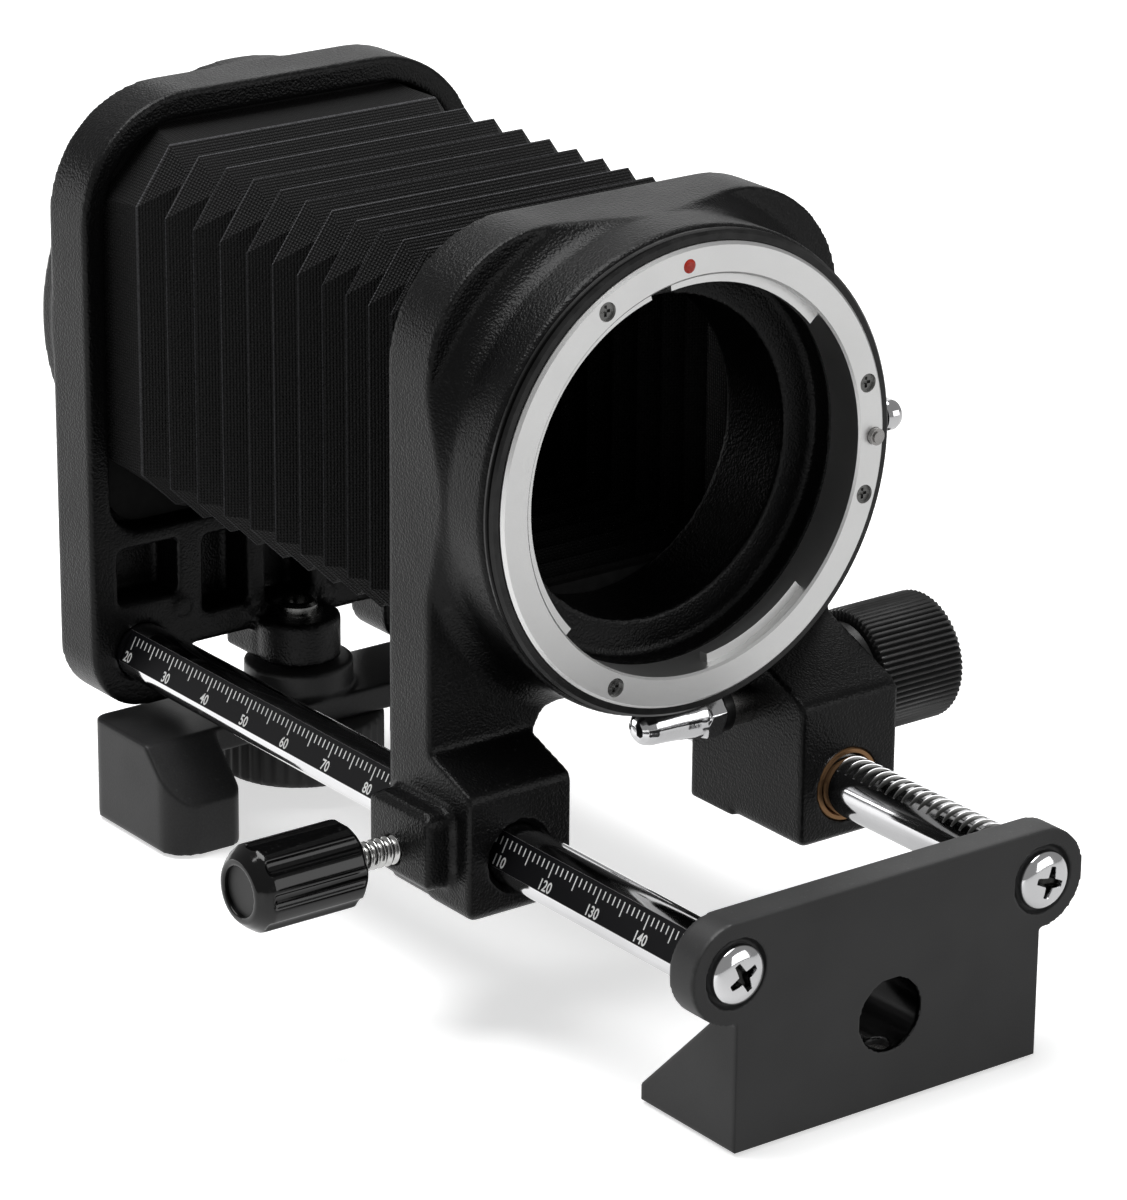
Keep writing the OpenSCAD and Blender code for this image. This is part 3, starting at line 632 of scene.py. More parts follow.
@dataclass(frozen=True)
class Cloth(Finish):
    """Rubberised bellows cloth: a fine weave, dull, with a painted highlight along the outer folds.

    Pitch and depth of the weave are in millimetres, deep is how dark it is between its threads, and
    uneven is how much rougher it is there and how much smoother on them.
    """

    pitch: float = 0.43
    depth: float = 0.13
    deep: float = 0.3
    uneven: tuple[float, float] = (0.1, -0.08)
    # colour of the painted highlight along the outer folds
    rubbed: Colour = rgb(0.085, 0.085, 0.09)

    def draw(self, s: Surface) -> None:
        """Weave on the cloth's own UV map, and a painted highlight along the folds from its crease attribute.

        Args:
            s: The material's sheet.
        """
        flat = s.add("ShaderNodeUVMap", uv_map="cloth").outputs["UV"]
        weave = s.group(EFFECTS.weave, Vector=flat, Pitch=self.pitch)
        crease = s.add("ShaderNodeAttribute", attribute_name="crease").outputs["Fac"]
        fold_highlight_breakup = s.noise(s.place, 1800.0, detail=4.0)
        drift = s.noise(s.place, 120.0, detail=3.0)
        deep = shade(self.colour, self.deep)
        base = s.blend(weave["Mask"], deep, self.colour)
        base = s.blend(s.times(s.span(drift, 0.4, 0.7), 0.4), base, deep)
        # painted highlight along the outer folds, broken up by noise
        line = s.times(s.span(crease, 0.35, 0.75), s.span(fold_highlight_breakup, 0.3, 0.55, (0.55, 1.0)))
        reach = tuple(self.roughness + change for change in self.uneven)
        rough = s.span(weave["Mask"], 0.0, 1.0, reach)
        s.put(Base_Color=s.blend(line, base, self.rubbed), Roughness=rough, Specular_IOR_Level=0.2,
              Sheen_Weight=0.025, Sheen_Roughness=0.5)
        s.relief(weave["Height"], self.depth)


PLATE = rgb(0.74, 0.74, 0.75)
ALONG_ROD = {"stretch": (1.0, 0.05, 1.0), "streak": 0.3, "depth": 0.0015, "spread": 0.03}

# edges paler than the paint: scuffed paint and a painted highlight where the rounded edges catch light
CAST_PAINT = Coating("cast_paint", rgb(0.0032, 0.0032, 0.0034), 0.33, grain=0.34, depth=0.115, crackle=0.9,
                     gloss=0.18, worn=grey(0.13), wear=0.45)
ANODISED = Coating("black_anodised", rgb(0.036, 0.036, 0.0365), 0.42, grain=0.16, depth=0.008, crackle=0.2,
                   gloss=0.3, wear=0.5)
# near-black wall inside the end plate's bore: painted shade in the hole
BORE_SHADE = Coating("bore_painted_shade", grey(0.0012), 0.22, grain=0.3, depth=0.006, crackle=0.1, gloss=0.12,
                     wear=0.0, dust=0.0)
FOOT_PAINT = Coating("foot_anodised", rgb(0.025, 0.025, 0.0255), 0.38, grain=0.3, depth=0.02, crackle=0.4,
                     gloss=0.24, wear=0.4)
SEAT_PAINT = Coating("seat_satin_black", grey(0.003), 0.28, grain=0.12, depth=0.004, crackle=0.2, gloss=0.35,
                     wear=0.4)
MATT_BLACK = Coating("inner_matt_black", grey(0.0025), 0.65, grain=0.2, depth=0.01, gloss=0.15, wear=0.1,
                     dust=0.1)
KNOB_PLASTIC = Coating("clamp_knob_gloss", rgb(0.0022, 0.0022, 0.0023), 0.12, grain=1.4, depth=0.01,
                       crackle=0.1, gloss=0.3, coat=0.12, wear=0.1, dust=0.15)
CAP_PLASTIC = Coating("clamp_cap_matt", grey(0.014), 0.5, grain=0.2, depth=0.01, wear=0.1)
WHEEL_PLASTIC = Coating("wheel_black", grey(0.004), 0.35, grain=0.3, depth=0.01, gloss=0.35, wear=0.4)
KNURL_BLACK = Coating("knurl_black", grey(0.02), 0.34, grain=0.14, depth=0.006, crackle=0.2, gloss=0.5,
                      worn=grey(0.13), wear=0.6, dust=0.1)
ENAMEL_RED = Coating("index_enamel", rgb(0.62, 0.03, 0.012), 0.22, grain=0.3, depth=0.004, gloss=0.5,
                     worn=rgb(0.5, 0.05, 0.03), dust=0.0)
SCALE_WHITE = Coating("scale_filling", rgb(0.88, 0.88, 0.87), 0.5, grain=0.1, depth=0.004, worn=grey(0.6),
                      wear=0.2, dust=0.0)
CHROME = Metal("bright_chrome", PLATE, 0.08, **ALONG_ROD)
SCREW_CHROME = Metal("screw_chrome", PLATE, 0.1, streak=0.2, depth=0.002, spread=0.03)
RACK_CHROME = RackRodPlate("rack_rod_chrome", PLATE, 0.08, **ALONG_ROD)
SCALE_CHROME = ScaleRodPlate("scale_rod_chrome", PLATE, 0.08, side=-1, cut=rgb(0.006, 0.006, 0.007),
                             cut_roughness=0.45, **ALONG_ROD)
RING_SATIN = Metal("ring_satin", rgb(0.77, 0.77, 0.765), 0.4, streak=0.16, depth=0.012, spread=0.08,
                   stain=0.06)
STEEL = Metal("plain_steel", rgb(0.42, 0.41, 0.4), 0.28, streak=0.2, depth=0.003, stain=0.25)
# near-black steel for the screws' cross recesses: painted shade
RECESS_SHADE = Metal("recess_painted_shade", rgb(0.045, 0.045, 0.044), 0.3, streak=0.2, depth=0.003, stain=0.3)
CUT_STEEL = Metal("cut_steel", rgb(0.56, 0.56, 0.55), 0.2, streak=0.4, depth=0.0008, stain=0.15)
DARK_STEEL = Metal("oxide_steel", rgb(0.2, 0.2, 0.195), 0.26, streak=0.2, stain=0.3)
BRASS = Metal("turned_bronze", rgb(0.3, 0.17, 0.085), 0.34, stretch=(1.0, 0.1, 1.0), streak=0.2, stain=0.4)
BELLOWS_CLOTH = Cloth("bellows_weave", rgb(0.0045, 0.0045, 0.0048), 0.6)

NODE_FINISH: dict[str, Finish] = {
    "rear_standard": CAST_PAINT, "front_standard": CAST_PAINT, "scale_rod": SCALE_CHROME,
    "rack_rod": RACK_CHROME, "end_plate": ANODISED, "end_plate_screws": SCREW_CHROME,
    "accessory_grub_screw": STEEL, "bellows_cloth": BELLOWS_CLOTH, "bellows_rear_frame": MATT_BLACK,
    "bellows_front_frame": MATT_BLACK, "camera_ring": RING_SATIN, "camera_ring_screws": STEEL,
    "swivel_bolt": DARK_STEEL, "rear_foot": FOOT_PAINT, "foot_lock_wheel": WHEEL_PLASTIC,
    "rod_bushes": BRASS, "seat_ring": SEAT_PAINT, "lens_ring": RING_SATIN, "lens_ring_screws": DARK_STEEL,
    "index_dot": ENAMEL_RED, "lens_lock_pin": STEEL, "release_knob": CHROME, "lock_pin_spring": STEEL,
    "clamp_screw": CUT_STEEL, "clamp_knob": KNOB_PLASTIC, "clamp_knob_cap": CAP_PLASTIC,
    "drive_shaft": STEEL, "drive_pinion": BRASS, "drive_knob": KNURL_BLACK, "drive_cap_nut": CHROME,
    "drive_washer": SEAT_PAINT, "shaft_collar": STEEL, "pinion_cover": MATT_BLACK,
}


# ---------------------------------------------------------------- mesh work


def new_object(name: str, data: bpy.types.ID) -> Object:
    """Puts a mesh, lettering, a light or a camera into the scene.

    Args:
        name: Name of the object.
        data: What it holds.

    Returns:
        The new object, at the origin.
    """
    made = bpy.data.objects.new(name, data)
    bpy.context.scene.collection.objects.link(made)
    return made


def paint(mesh: Mesh, finish: Finish) -> None:
    """Gives a whole mesh one finish."""
    mesh.materials.clear()
    mesh.materials.append(finish.material())


def smooth(mesh: Mesh, degrees: float) -> None:
    """Shades a mesh smooth but for edges sharper than the angle."""
    mesh.shade_smooth()
    mesh.set_sharp_from_angle(angle=math.radians(degrees))


def worked_out(obj: Object) -> Mesh:
    """A plain mesh of an object as its modifiers or its lettering make it."""
    graph = bpy.context.evaluated_depsgraph_get()
    return bpy.data.meshes.new_from_object(obj.evaluated_get(graph))


def freeze(obj: Object) -> None:
    """Turns an object's modifiers into a plain mesh and removes them.

    Args:
        obj: The object.
    """
    mesh = worked_out(obj)
    obj.modifiers.clear()
    obj.data = mesh


def reworked(mesh: Mesh, change: Callable[[bmesh.types.BMesh], object]) -> Mesh:
    """Makes one change to a mesh's faces and points.

    Args:
        mesh: The mesh.
        change: What is done to it.

    Returns:
        The same mesh.
    """
    work = bmesh.new()
    work.from_mesh(mesh)
    change(work)
    work.to_mesh(mesh)
    work.free()
    return mesh


def outward(mesh: Mesh) -> Mesh:
    """A closed mesh with its faces turned outwards."""
    return reworked(mesh, lambda work: bmesh.ops.recalc_face_normals(work, faces=work.faces))


def skin_faces(rows: int, wide: int, closed: bool) -> list[Sequence[int]]:
    """The faces between rings of points that lie one after the other.

    Args:
        rows: Number of rings.
        wide: Points to a ring.
        closed: Whether the last ring meets the first again, or else both are closed with a face.

    Returns:
        The points of each face.
    """
    faces: list[Sequence[int]] = []
    for i in range(rows if closed else rows - 1):
        here, there = i * wide, (i + 1) % rows * wide
        faces += [(here + j, there + j, there + (j + 1) % wide, here + (j + 1) % wide) for j in range(wide)]
    return faces if closed else faces + [range(wide), range((rows - 1) * wide, rows * wide)]


def turned(name: str, rows: Sequence[Sequence[Point]]) -> Mesh:
    """A solid over closed rings of points.

    Args:
        name: Name of the mesh.
        rows: Rings of equally many points, the first and the last closed with a face.

    Returns:
        The mesh, with its faces turned outwards.
    """
    mesh = bpy.data.meshes.new(name)
    mesh.from_pydata([p for row in rows for p in row], [], skin_faces(len(rows), len(rows[0]), False))
    return outward(mesh)


def joined(name: str, meshes: Iterable[Mesh]) -> Mesh:
    """One mesh that holds several."""
    return reworked(bpy.data.meshes.new(name), lambda work: [work.from_mesh(mesh) for mesh in meshes])


def merged_copy(node: str, name: str) -> Mesh:
    """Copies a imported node's mesh and joins its loose triangles.

    Args:
        node: The node.
        name: Name of the copy.

    Returns:
        The copy.
    """
    mesh = frame["nodes"][node].data.copy()
    mesh.name = name
    gap = 0.002 * MM
    return reworked(mesh, lambda work: bmesh.ops.remove_doubles(work, verts=work.verts, dist=gap))


def points_round(middle: Vector, x: float, radii: Sequence[float]) -> list[Point]:
    """Points at equal angles round an axis along X, in metres.

    Args:
        middle: A point on the axis.
        x: Place of the ring along X.
        radii: Each point's own radius.

    Returns:
        The points.
    """
    step = 2 * math.pi / len(radii)
    return [(x, middle.y + r * math.cos(j * step), middle.z + r * math.sin(j * step))
            for j, r in enumerate(radii)]


# ---------------------------------------------------------------- placing pieces


def body_of(node: str) -> Body:
    """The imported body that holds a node."""
    return Body(frame["nodes"][node]["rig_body"])


def settle(obj: Object, like: str, *nodes: str) -> None:
    """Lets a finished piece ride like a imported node, and take the place of nodes.

    Args:
        obj: The piece.
        like: The node whose body and slot it has.
        nodes: The nodes that it stands for.
    """
    body = body_of(like).value
    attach(obj, body)
    if nodes:
        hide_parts(*nodes)
    LOG.info("%s rides on %s, %d faces", obj.name, body, len(obj.data.polygons))


def stand_in(name: str, mesh: Mesh, node: str, soft: float) -> None:
    """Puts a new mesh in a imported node's place, with the node's finish.

    Args:
        name: Name of the piece.
        mesh: Its mesh.
        node: The node that it stands for.
        soft: Angle in degrees up to which it is shaded smooth.
    """
    smooth(mesh, soft)
    paint(mesh, NODE_FINISH[node])
    settle(new_object(name, mesh), node, node)


def bend(name: str, mesh: Mesh, node: str, start: tuple[Body, Vector], end: tuple[Body, Vector]) -> None:
    """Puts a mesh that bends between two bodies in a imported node's place.

    Its travel is shared out evenly on the way, as folds and coils do.

    Args:
        name: Name of the piece.
        mesh: Its mesh.
        node: The node that it stands for.
        start: The body it is bound to at one end, and the place of that end.
        end: The same for the other end.
    """
    paint(mesh, NODE_FINISH[node])
    obj = new_object(name, mesh)
    (first, low), (second, high) = start, end
    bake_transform(obj, first.value, second.value, start=low, end=high)
    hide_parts(node)
    way = high - low
    weights = [min(1.0, max(0.0, (v.co - low).dot(way) / way.length_squared)) for v in mesh.vertices]
    mesh.attributes["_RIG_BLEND"].data.foreach_set("value", weights)
    LOG.info("%s bends between %s and %s, %d faces", name, first.value, second.value, len(mesh.polygons))


# ---------------------------------------------------------------- sub-assemblies


@dataclass(frozen=True)
class Bore:
    """A round hole along Y with a finish of its own, in millimetres; the end plate's gets a near-black one
    that paints the shade inside the hole.

    Attributes:
        height: Height of its axis, which lies in the middle plane.
        radius: Its radius.
        finish: The finish of its wall.
        slack: How far from the wall a face may lie.
        facing: How far a face of the wall may be turned along the hole.
    """

    height: float
    radius: float
    finish: Finish
    slack: float = 0.12
    facing: float = 0.8

    def dress(self, mesh: Mesh) -> None:
        """Gives the bore's finish to the faces of its wall.

        Args:
            mesh: The mesh that has the bore.
        """
        mesh.materials.append(self.finish.material())
        for face in mesh.polygons:
            reach = math.hypot(face.center.x, face.center.z - self.height * MM)
            if reach < (self.radius + self.slack) * MM and abs(face.normal.y) < self.facing:
                face.material_index = 1


@dataclass
class RoundedSolid:
    """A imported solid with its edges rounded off, as casting and moulding leave them.

    Attributes:
        node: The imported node.
        fineness: Size of the mesh's cells in millimetres.
        passes: How often the surface is relaxed.
        bore: A hole whose wall has another finish.
    """

    node: str
    fineness: float
    passes: int
    bore: Bore | None = None

    def build(self) -> None:
        """Copies the node, rounds it and puts it in the node's place."""
        name = f"{self.node}_rounded"
        obj = new_object(name, merged_copy(self.node, name))
        cells = obj.modifiers.new("cells", "REMESH")
        cells.mode = "VOXEL"
        cells.voxel_size = self.fineness * MM
        cells.use_smooth_shade = True
        relax = obj.modifiers.new("relax", "SMOOTH")
        relax.factor = 0.5
        relax.iterations = self.passes
        freeze(obj)
        paint(obj.data, NODE_FINISH[self.node])
        if self.bore is not None:
            self.bore.dress(obj.data)
        settle(obj, self.node, self.node)


@dataclass(frozen=True)
class Ring:
    """Eight-cornered ring of cloth square to the optical axis, in millimetres.

    Attributes:
        half: Half of its width.
        low: Its bottom, counted from the optical axis.
        high: Its top.
        upper: Width and height that each upper corner loses.
        lower: The same for each lower corner.
    """

    half: float
    low: float
    high: float
    upper: tuple[float, float]
    lower: tuple[float, float]

    def corners(self, inward: float) -> list[tuple[float, float]]:
        """The corners, counted round from the lower right.

        Args:
            inward: How much smaller the ring is made all round.

        Returns:
            Width and height of each corner.
        """
        w, b, t = self.half - inward, self.low + inward, self.high - inward
        (ux, uz), (lx, lz) = self.upper, self.lower
        right = [(w, b + lz), (w, t - uz), (w - ux, t)]
        left = [(ux - w, t), (-w, t - uz), (-w, b + lz)]
        return right + left + [(lx - w, b), (w - lx, b)]


@dataclass
class Bellows:
    """The pleated cloth, from its wide end in the rear standard to the front standard.

    Sizes are in millimetres, and first, last and seats are scale values. The cloth is held over the
    lengths glued and tuck at its ends, and marks are the rows of points between two folds, as shares.
    The map is measured along the fold wide_fold, counted from the skirt.
    """

    outer: Ring = Ring(28.0, -24.9, 27.5, (5.6, 8.0), (5.4, 5.4))
    inner: Ring = Ring(22.8, -21.4, 24.0, (1.0, 1.2), (1.0, 1.0))
    skirt: Ring = Ring(29.2, -28.6, 28.4, (9.0, 9.0), (13.0, 10.0))
    pleats: int = 11
    cloth: float = 0.45
    first: float = 23.5
    last: float = 84.5
    crowding: float = 0.2
    rear_seat: float = 15.95
    front_seat: float = 91.15
    glued: float = 2.0
    tuck: float = 1.0
    marks: tuple[float, ...] = (0.0, 0.06, 0.3, 0.7, 0.94)
    wide_fold: int = 5
    sag: float = 0.14
    side_steps: int = 12
    corner_steps: int = 4
    soft: float = 22.0

    def steps(self, side: int) -> int:
        """Points along one of the ring's eight sides, of which every second is a corner."""
        return self.side_steps if side % 2 == 0 else self.corner_steps

    def fold_at(self, index: float) -> float:
        """Scale value of an outer fold; halves give the inner folds."""
        u = index / (self.pleats - 1)
        return self.first + (self.last - self.first) * (u + self.crowding * u * (1 - u))

    def folds(self) -> list[tuple[Ring, float]]:
        """The rings at which the cloth is folded or ends.

        Returns:
            Each ring and its scale value, from rear to front.
        """
        rings = [(self.skirt, self.rear_seat)]
        for k in range(self.pleats):
            rings.append((self.outer, self.fold_at(k)))
            rings.append((self.inner, min(self.fold_at(k + 0.5), self.front_seat - self.tuck)))
        return rings + [(self.inner, self.front_seat)]

    def row(self, start: Ring, end: Ring, share: float, value: float, inward: float) -> list[Point]:
        """One row of the skin, between two folds.

        Args:
            start: The fold behind the row.
            end: The fold before the row.
            share: How far the row lies from start towards end.
            value: Scale value of the row.
            inward: How far the row is moved inwards, for the lining.

        Returns:
            The row's points in the scene.
        """
        mixed = [(a[0] * (1 - share) + b[0] * share, a[1] * (1 - share) + b[1] * share)
                 for a, b in zip(start.corners(inward), end.corners(inward))]
        points: list[Point] = []
        for k, (x0, z0) in enumerate(mixed):
            x1, z1 = mixed[(k + 1) % len(mixed)]
            sag = self.sag * math.sin(math.pi * share) if k % 2 == 0 else 0.0
            for step in range(self.steps(k)):
                f = step / self.steps(k)
                x, z = x0 + (x1 - x0) * f, z0 + (z1 - z0) * f
                keep = 1 - sag * math.sin(math.pi * f) / math.hypot(x, z)
                points.append(RODS.at(x * keep, value, RODS.optical + z * keep))
        return points

    def rows(self, inward: float) -> tuple[list[list[Point]], list[float]]:
        """All rows of one skin.

        Args:
            inward: How far the skin lies inside the folds.

        Returns:
            The rows, and how strongly each is creased.
        """
        folds = self.folds()
        rows: list[list[Point]] = []
        creases: list[float] = []
        for (a, va), (b, vb) in zip(folds, folds[1:]):
            for f in self.marks:
                rows.append(self.row(a, b, f, va + (vb - va) * f, inward))
                creases.append(1.0 if f == 0.0 and a is self.outer else 0.0)
        rows.append(self.row(self.inner, self.inner, 0.0, self.front_seat, inward))
        return rows, creases + [0.0]

    def build(self) -> None:
        """Folds the cloth, maps its weave and binds it between the two standards."""
        outer, creases = self.rows(0.0)
        inner, _ = self.rows(self.cloth)
        rows = outer + inner[::-1]
        wide, count = len(outer[0]), len(rows)
        mesh = bpy.data.meshes.new("bellows")
        mesh.from_pydata([p for row in rows for p in row], [], skin_faces(count, wide, True))
        marks = creases + [0.0] * len(inner)
        crease = mesh.attributes.new("crease", "FLOAT", "POINT")
        crease.data.foreach_set("value", [mark for mark in marks for _ in range(wide)])
        self._map(mesh, rows)
        smooth(outward(mesh), self.soft)
        start = Vector(RODS.at(0.0, self.rear_seat + self.glued, RODS.optical))
        end = Vector(RODS.at(0.0, self.front_seat - self.tuck, RODS.optical))
        bend("bellows", mesh, "bellows_cloth", (Body.BASE, start), (Body.CARRIAGE, end))

    def _map(self, mesh: Mesh, rows: list[list[Point]]) -> None:
        """Lays every panel of the cloth flat in millimetres, along and across its folds.

        Args:
            mesh: The cloth.
            rows: Its rows of points.
        """
        wide, count = len(rows[0]), len(rows)
        sides = [k for k in range(8) for _ in range(self.steps(k))]
        along: dict[int, Vector] = {}
        run: dict[int, list[float]] = {}
        for k in range(8):
            a, b = sides.index(k), (wide - sides[::-1].index(k)) % wide
            fold = rows[self.middle_row]
            along[k] = (Vector(fold[b]) - Vector(fold[a])).normalized()
            middles = [(Vector(row[a]) + Vector(row[b])) / 2 for row in rows]
            run[k] = [0.0]
            for before, after in zip(middles, middles[1:] + middles[:1]):
                step = after - before
                run[k].append(run[k][-1] + (step - along[k] * step.dot(along[k])).length / MM)
        layer = mesh.uv_layers.new(name="cloth")
        corner = 0
        for i in range(count):
            for j, k in enumerate(sides):
                for far, across in ((0, 0), (1, 0), (1, 1), (0, 1)):
                    point = Vector(rows[(i + far) % count][(j + across) % wide])
                    layer.data[corner].uv = (point.dot(along[k]) / MM, run[k][i + far])
                    corner += 1

    @property
    def middle_row(self) -> int:
        """A row on an outer fold, where every panel is wide."""
        return self.wide_fold * len(self.marks)


@dataclass
class ScaleMarks:
    """White graduations and numbers on the flat of the scale rod, in millimetres.

    The values first and last are scale values, top and digit_top are heights along the flat, and
    capital is the height of the typeface's digits as a share of its size. Every long_every-th line
    is long, and every number_every-th has its number.
    """

    first: int = 20
    last: int = 147
    long_every: int = 5
    number_every: int = 10
    tilt: float = SCALE_CHROME.tilt
    flat: float = SCALE_CHROME.flat
    top: float = 1.75
    long: float = 2.0
    short: float = 1.15
    line: float = 0.2
    digit_height: float = 1.5
    digit_top: float = -0.42
    digit_width: float = 0.86
    digit_weight: float = 0.035
    capital: float = 0.72
    lift: float = 0.015
    depth: float = 0.03

    def placed(self, value: float, up: float) -> Matrix:
        """Carries a drawing in the XY plane to the flat.

        Args:
            value: Scale value of its origin.
            up: Height of its origin along the flat.

        Returns:
            The move and the turn.
        """
        tilt = math.radians(self.tilt)
        reach = self.flat + self.lift - self.depth / 2
        x = -RODS.spacing / 2 - reach * math.cos(tilt) + up * math.sin(tilt)
        place = RODS.at(x, value, reach * math.sin(tilt) + up * math.cos(tilt))
        right = Vector((0.0, -1.0, 0.0))
        upward = Vector((math.sin(tilt), 0.0, math.cos(tilt)))
        turn = Matrix((right, upward, right.cross(upward))).transposed().to_4x4()
        return Matrix.Translation(place) @ turn

    def graduations(self, values: dict[str, float]) -> Tree:
        """A row of points in a node tree, each with a line of its own length.

        Args:
            values: The tree's inputs with their values, in metres.

        Returns:
            The tree.
        """
        tree = bpy.data.node_groups.new("graduations", "GeometryNodeTree")
        for label, value in values.items():
            kind = "NodeSocketInt" if isinstance(value, int) else "NodeSocketFloat"
            tree.interface.new_socket(label, in_out="INPUT", socket_type=kind)
        tree.interface.new_socket("Geometry", in_out="OUTPUT", socket_type="NodeSocketGeometry")
        s = Sheet(tree)
        given = s.add("NodeGroupInput").outputs
        step = s.add("ShaderNodeCombineXYZ", {0: given["Step"]}).outputs[0]
        row = s.add("GeometryNodeMeshLine", {"Count": given["Count"], "Offset": step})
        index = s.add("GeometryNodeInputIndex").outputs[0]
        long = s.math("COMPARE", s.math("MODULO", index, float(self.long_every)), 0.0, 0.1)
        reach = s.add("ShaderNodeMapRange", {"Value": long, "To Min": given["Short"],
                                             "To Max": given["Long"]}).outputs[0]
        size = s.add("ShaderNodeCombineXYZ", {0: given["Line"], 1: reach, 2: given["Depth"]}).outputs[0]
        drop = s.add("ShaderNodeCombineXYZ", {1: s.times(reach, -0.5)}).outputs[0]
        moved = s.add("GeometryNodeSetPosition", {"Geometry": row.outputs[0], "Offset": drop})
        bar = s.add("GeometryNodeMeshCube", {"Size": (1.0, 1.0, 1.0)})
        spread = s.add("GeometryNodeInstanceOnPoints",
                       {"Points": moved.outputs[0], "Instance": bar.outputs[0], "Scale": size})
        real = s.add("GeometryNodeRealizeInstances", {0: spread.outputs[0]})
        white = s.add("GeometryNodeSetMaterial",
                      {"Geometry": real.outputs[0], "Material": SCALE_WHITE.material()})
        s.add("NodeGroupOutput", {0: white.outputs[0]})
        return tree

    def ticks(self) -> None:
        """Makes the graduations as one plain mesh."""
        values = {"Count": self.last - self.first + 1, "Step": MM, "Line": self.line * MM,
                  "Long": self.long * MM, "Short": self.short * MM, "Depth": self.depth * MM}
        obj = new_object("scale_ticks", bpy.data.meshes.new("scale_ticks"))
        modifier = obj.modifiers.new("graduations", "NODES")
        modifier.node_group = self.graduations(values)
        for item in modifier.node_group.interface.items_tree:
            if item.in_out == "INPUT":
                modifier[item.identifier] = values[item.name]
        freeze(obj)
        obj.data.transform(self.placed(self.first, self.top))
        settle(obj, "scale_rod")

    def number(self, value: int) -> Mesh:
        """Draws a number with the built-in typeface.

        Args:
            value: The number, and its scale value.

        Returns:
            Its mesh, in its place.
        """
        text = bpy.data.curves.new(f"number_{value}", "FONT")
        text.body = str(value)
        text.size = self.digit_height * MM / self.capital
        text.align_x = "CENTER"
        text.align_y = "TOP"
        text.extrude = self.depth / 2 * MM
        text.offset = self.digit_weight * MM
        text.resolution_u = 4
        carrier = new_object(text.name, text)
        mesh = worked_out(carrier)
        bpy.data.objects.remove(carrier)
        squeeze = Matrix.Diagonal((self.digit_width, 1.0, 1.0, 1.0))
        mesh.transform(self.placed(value, self.digit_top) @ squeeze)
        return mesh

    def numbers(self) -> None:
        """Makes the numbers at every tenth graduation as one plain mesh."""
        values = range(self.first, self.last, self.number_every)
        mesh = joined("scale_numbers", [self.number(value) for value in values])
        paint(mesh, SCALE_WHITE)
        settle(new_object("scale_numbers", mesh), "scale_rod")

    def build(self) -> None:
        """Makes the ticks and the numbers."""
        self.ticks()
        self.numbers()


@dataclass
class ClampScrew:
    """The clamping screw with its cut thread, in millimetres."""

    node: str = "clamp_screw"
    pitch: float = 1.1
    thread: float = 0.45
    steep: float = 1.5
    land: float = 0.3
    around: int = 64
    per_turn: int = 18
    soft: float = 85.0

    def cut(self, turn: float) -> float:
        """Depth of the thread at a share of its turn, with a flat crest and a flat root."""
        crest = abs(turn % 1.0 - 0.5) * 2
        return self.thread * min(1.0, max(0.0, crest * self.steep - self.land))

    def build(self) -> None:
        """Winds the thread as a ripple of the screw's radius."""
        low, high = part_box(self.node)
        radius = (high.z - low.z) / 2 / MM
        steps = int((high.x - low.x) / MM / self.pitch * self.per_turn)
        rows: list[list[Point]] = []
        for i in range(steps + 1):
            x = low.x + (high.x - low.x) * i / steps
            turn = x / MM / self.pitch
            radii = [(radius - self.cut(turn + j / self.around)) * MM for j in range(self.around)]
            rows.append(points_round((low + high) / 2, x, radii))
        stand_in("clamp_thread", turned("clamp_thread", rows), self.node, self.soft)


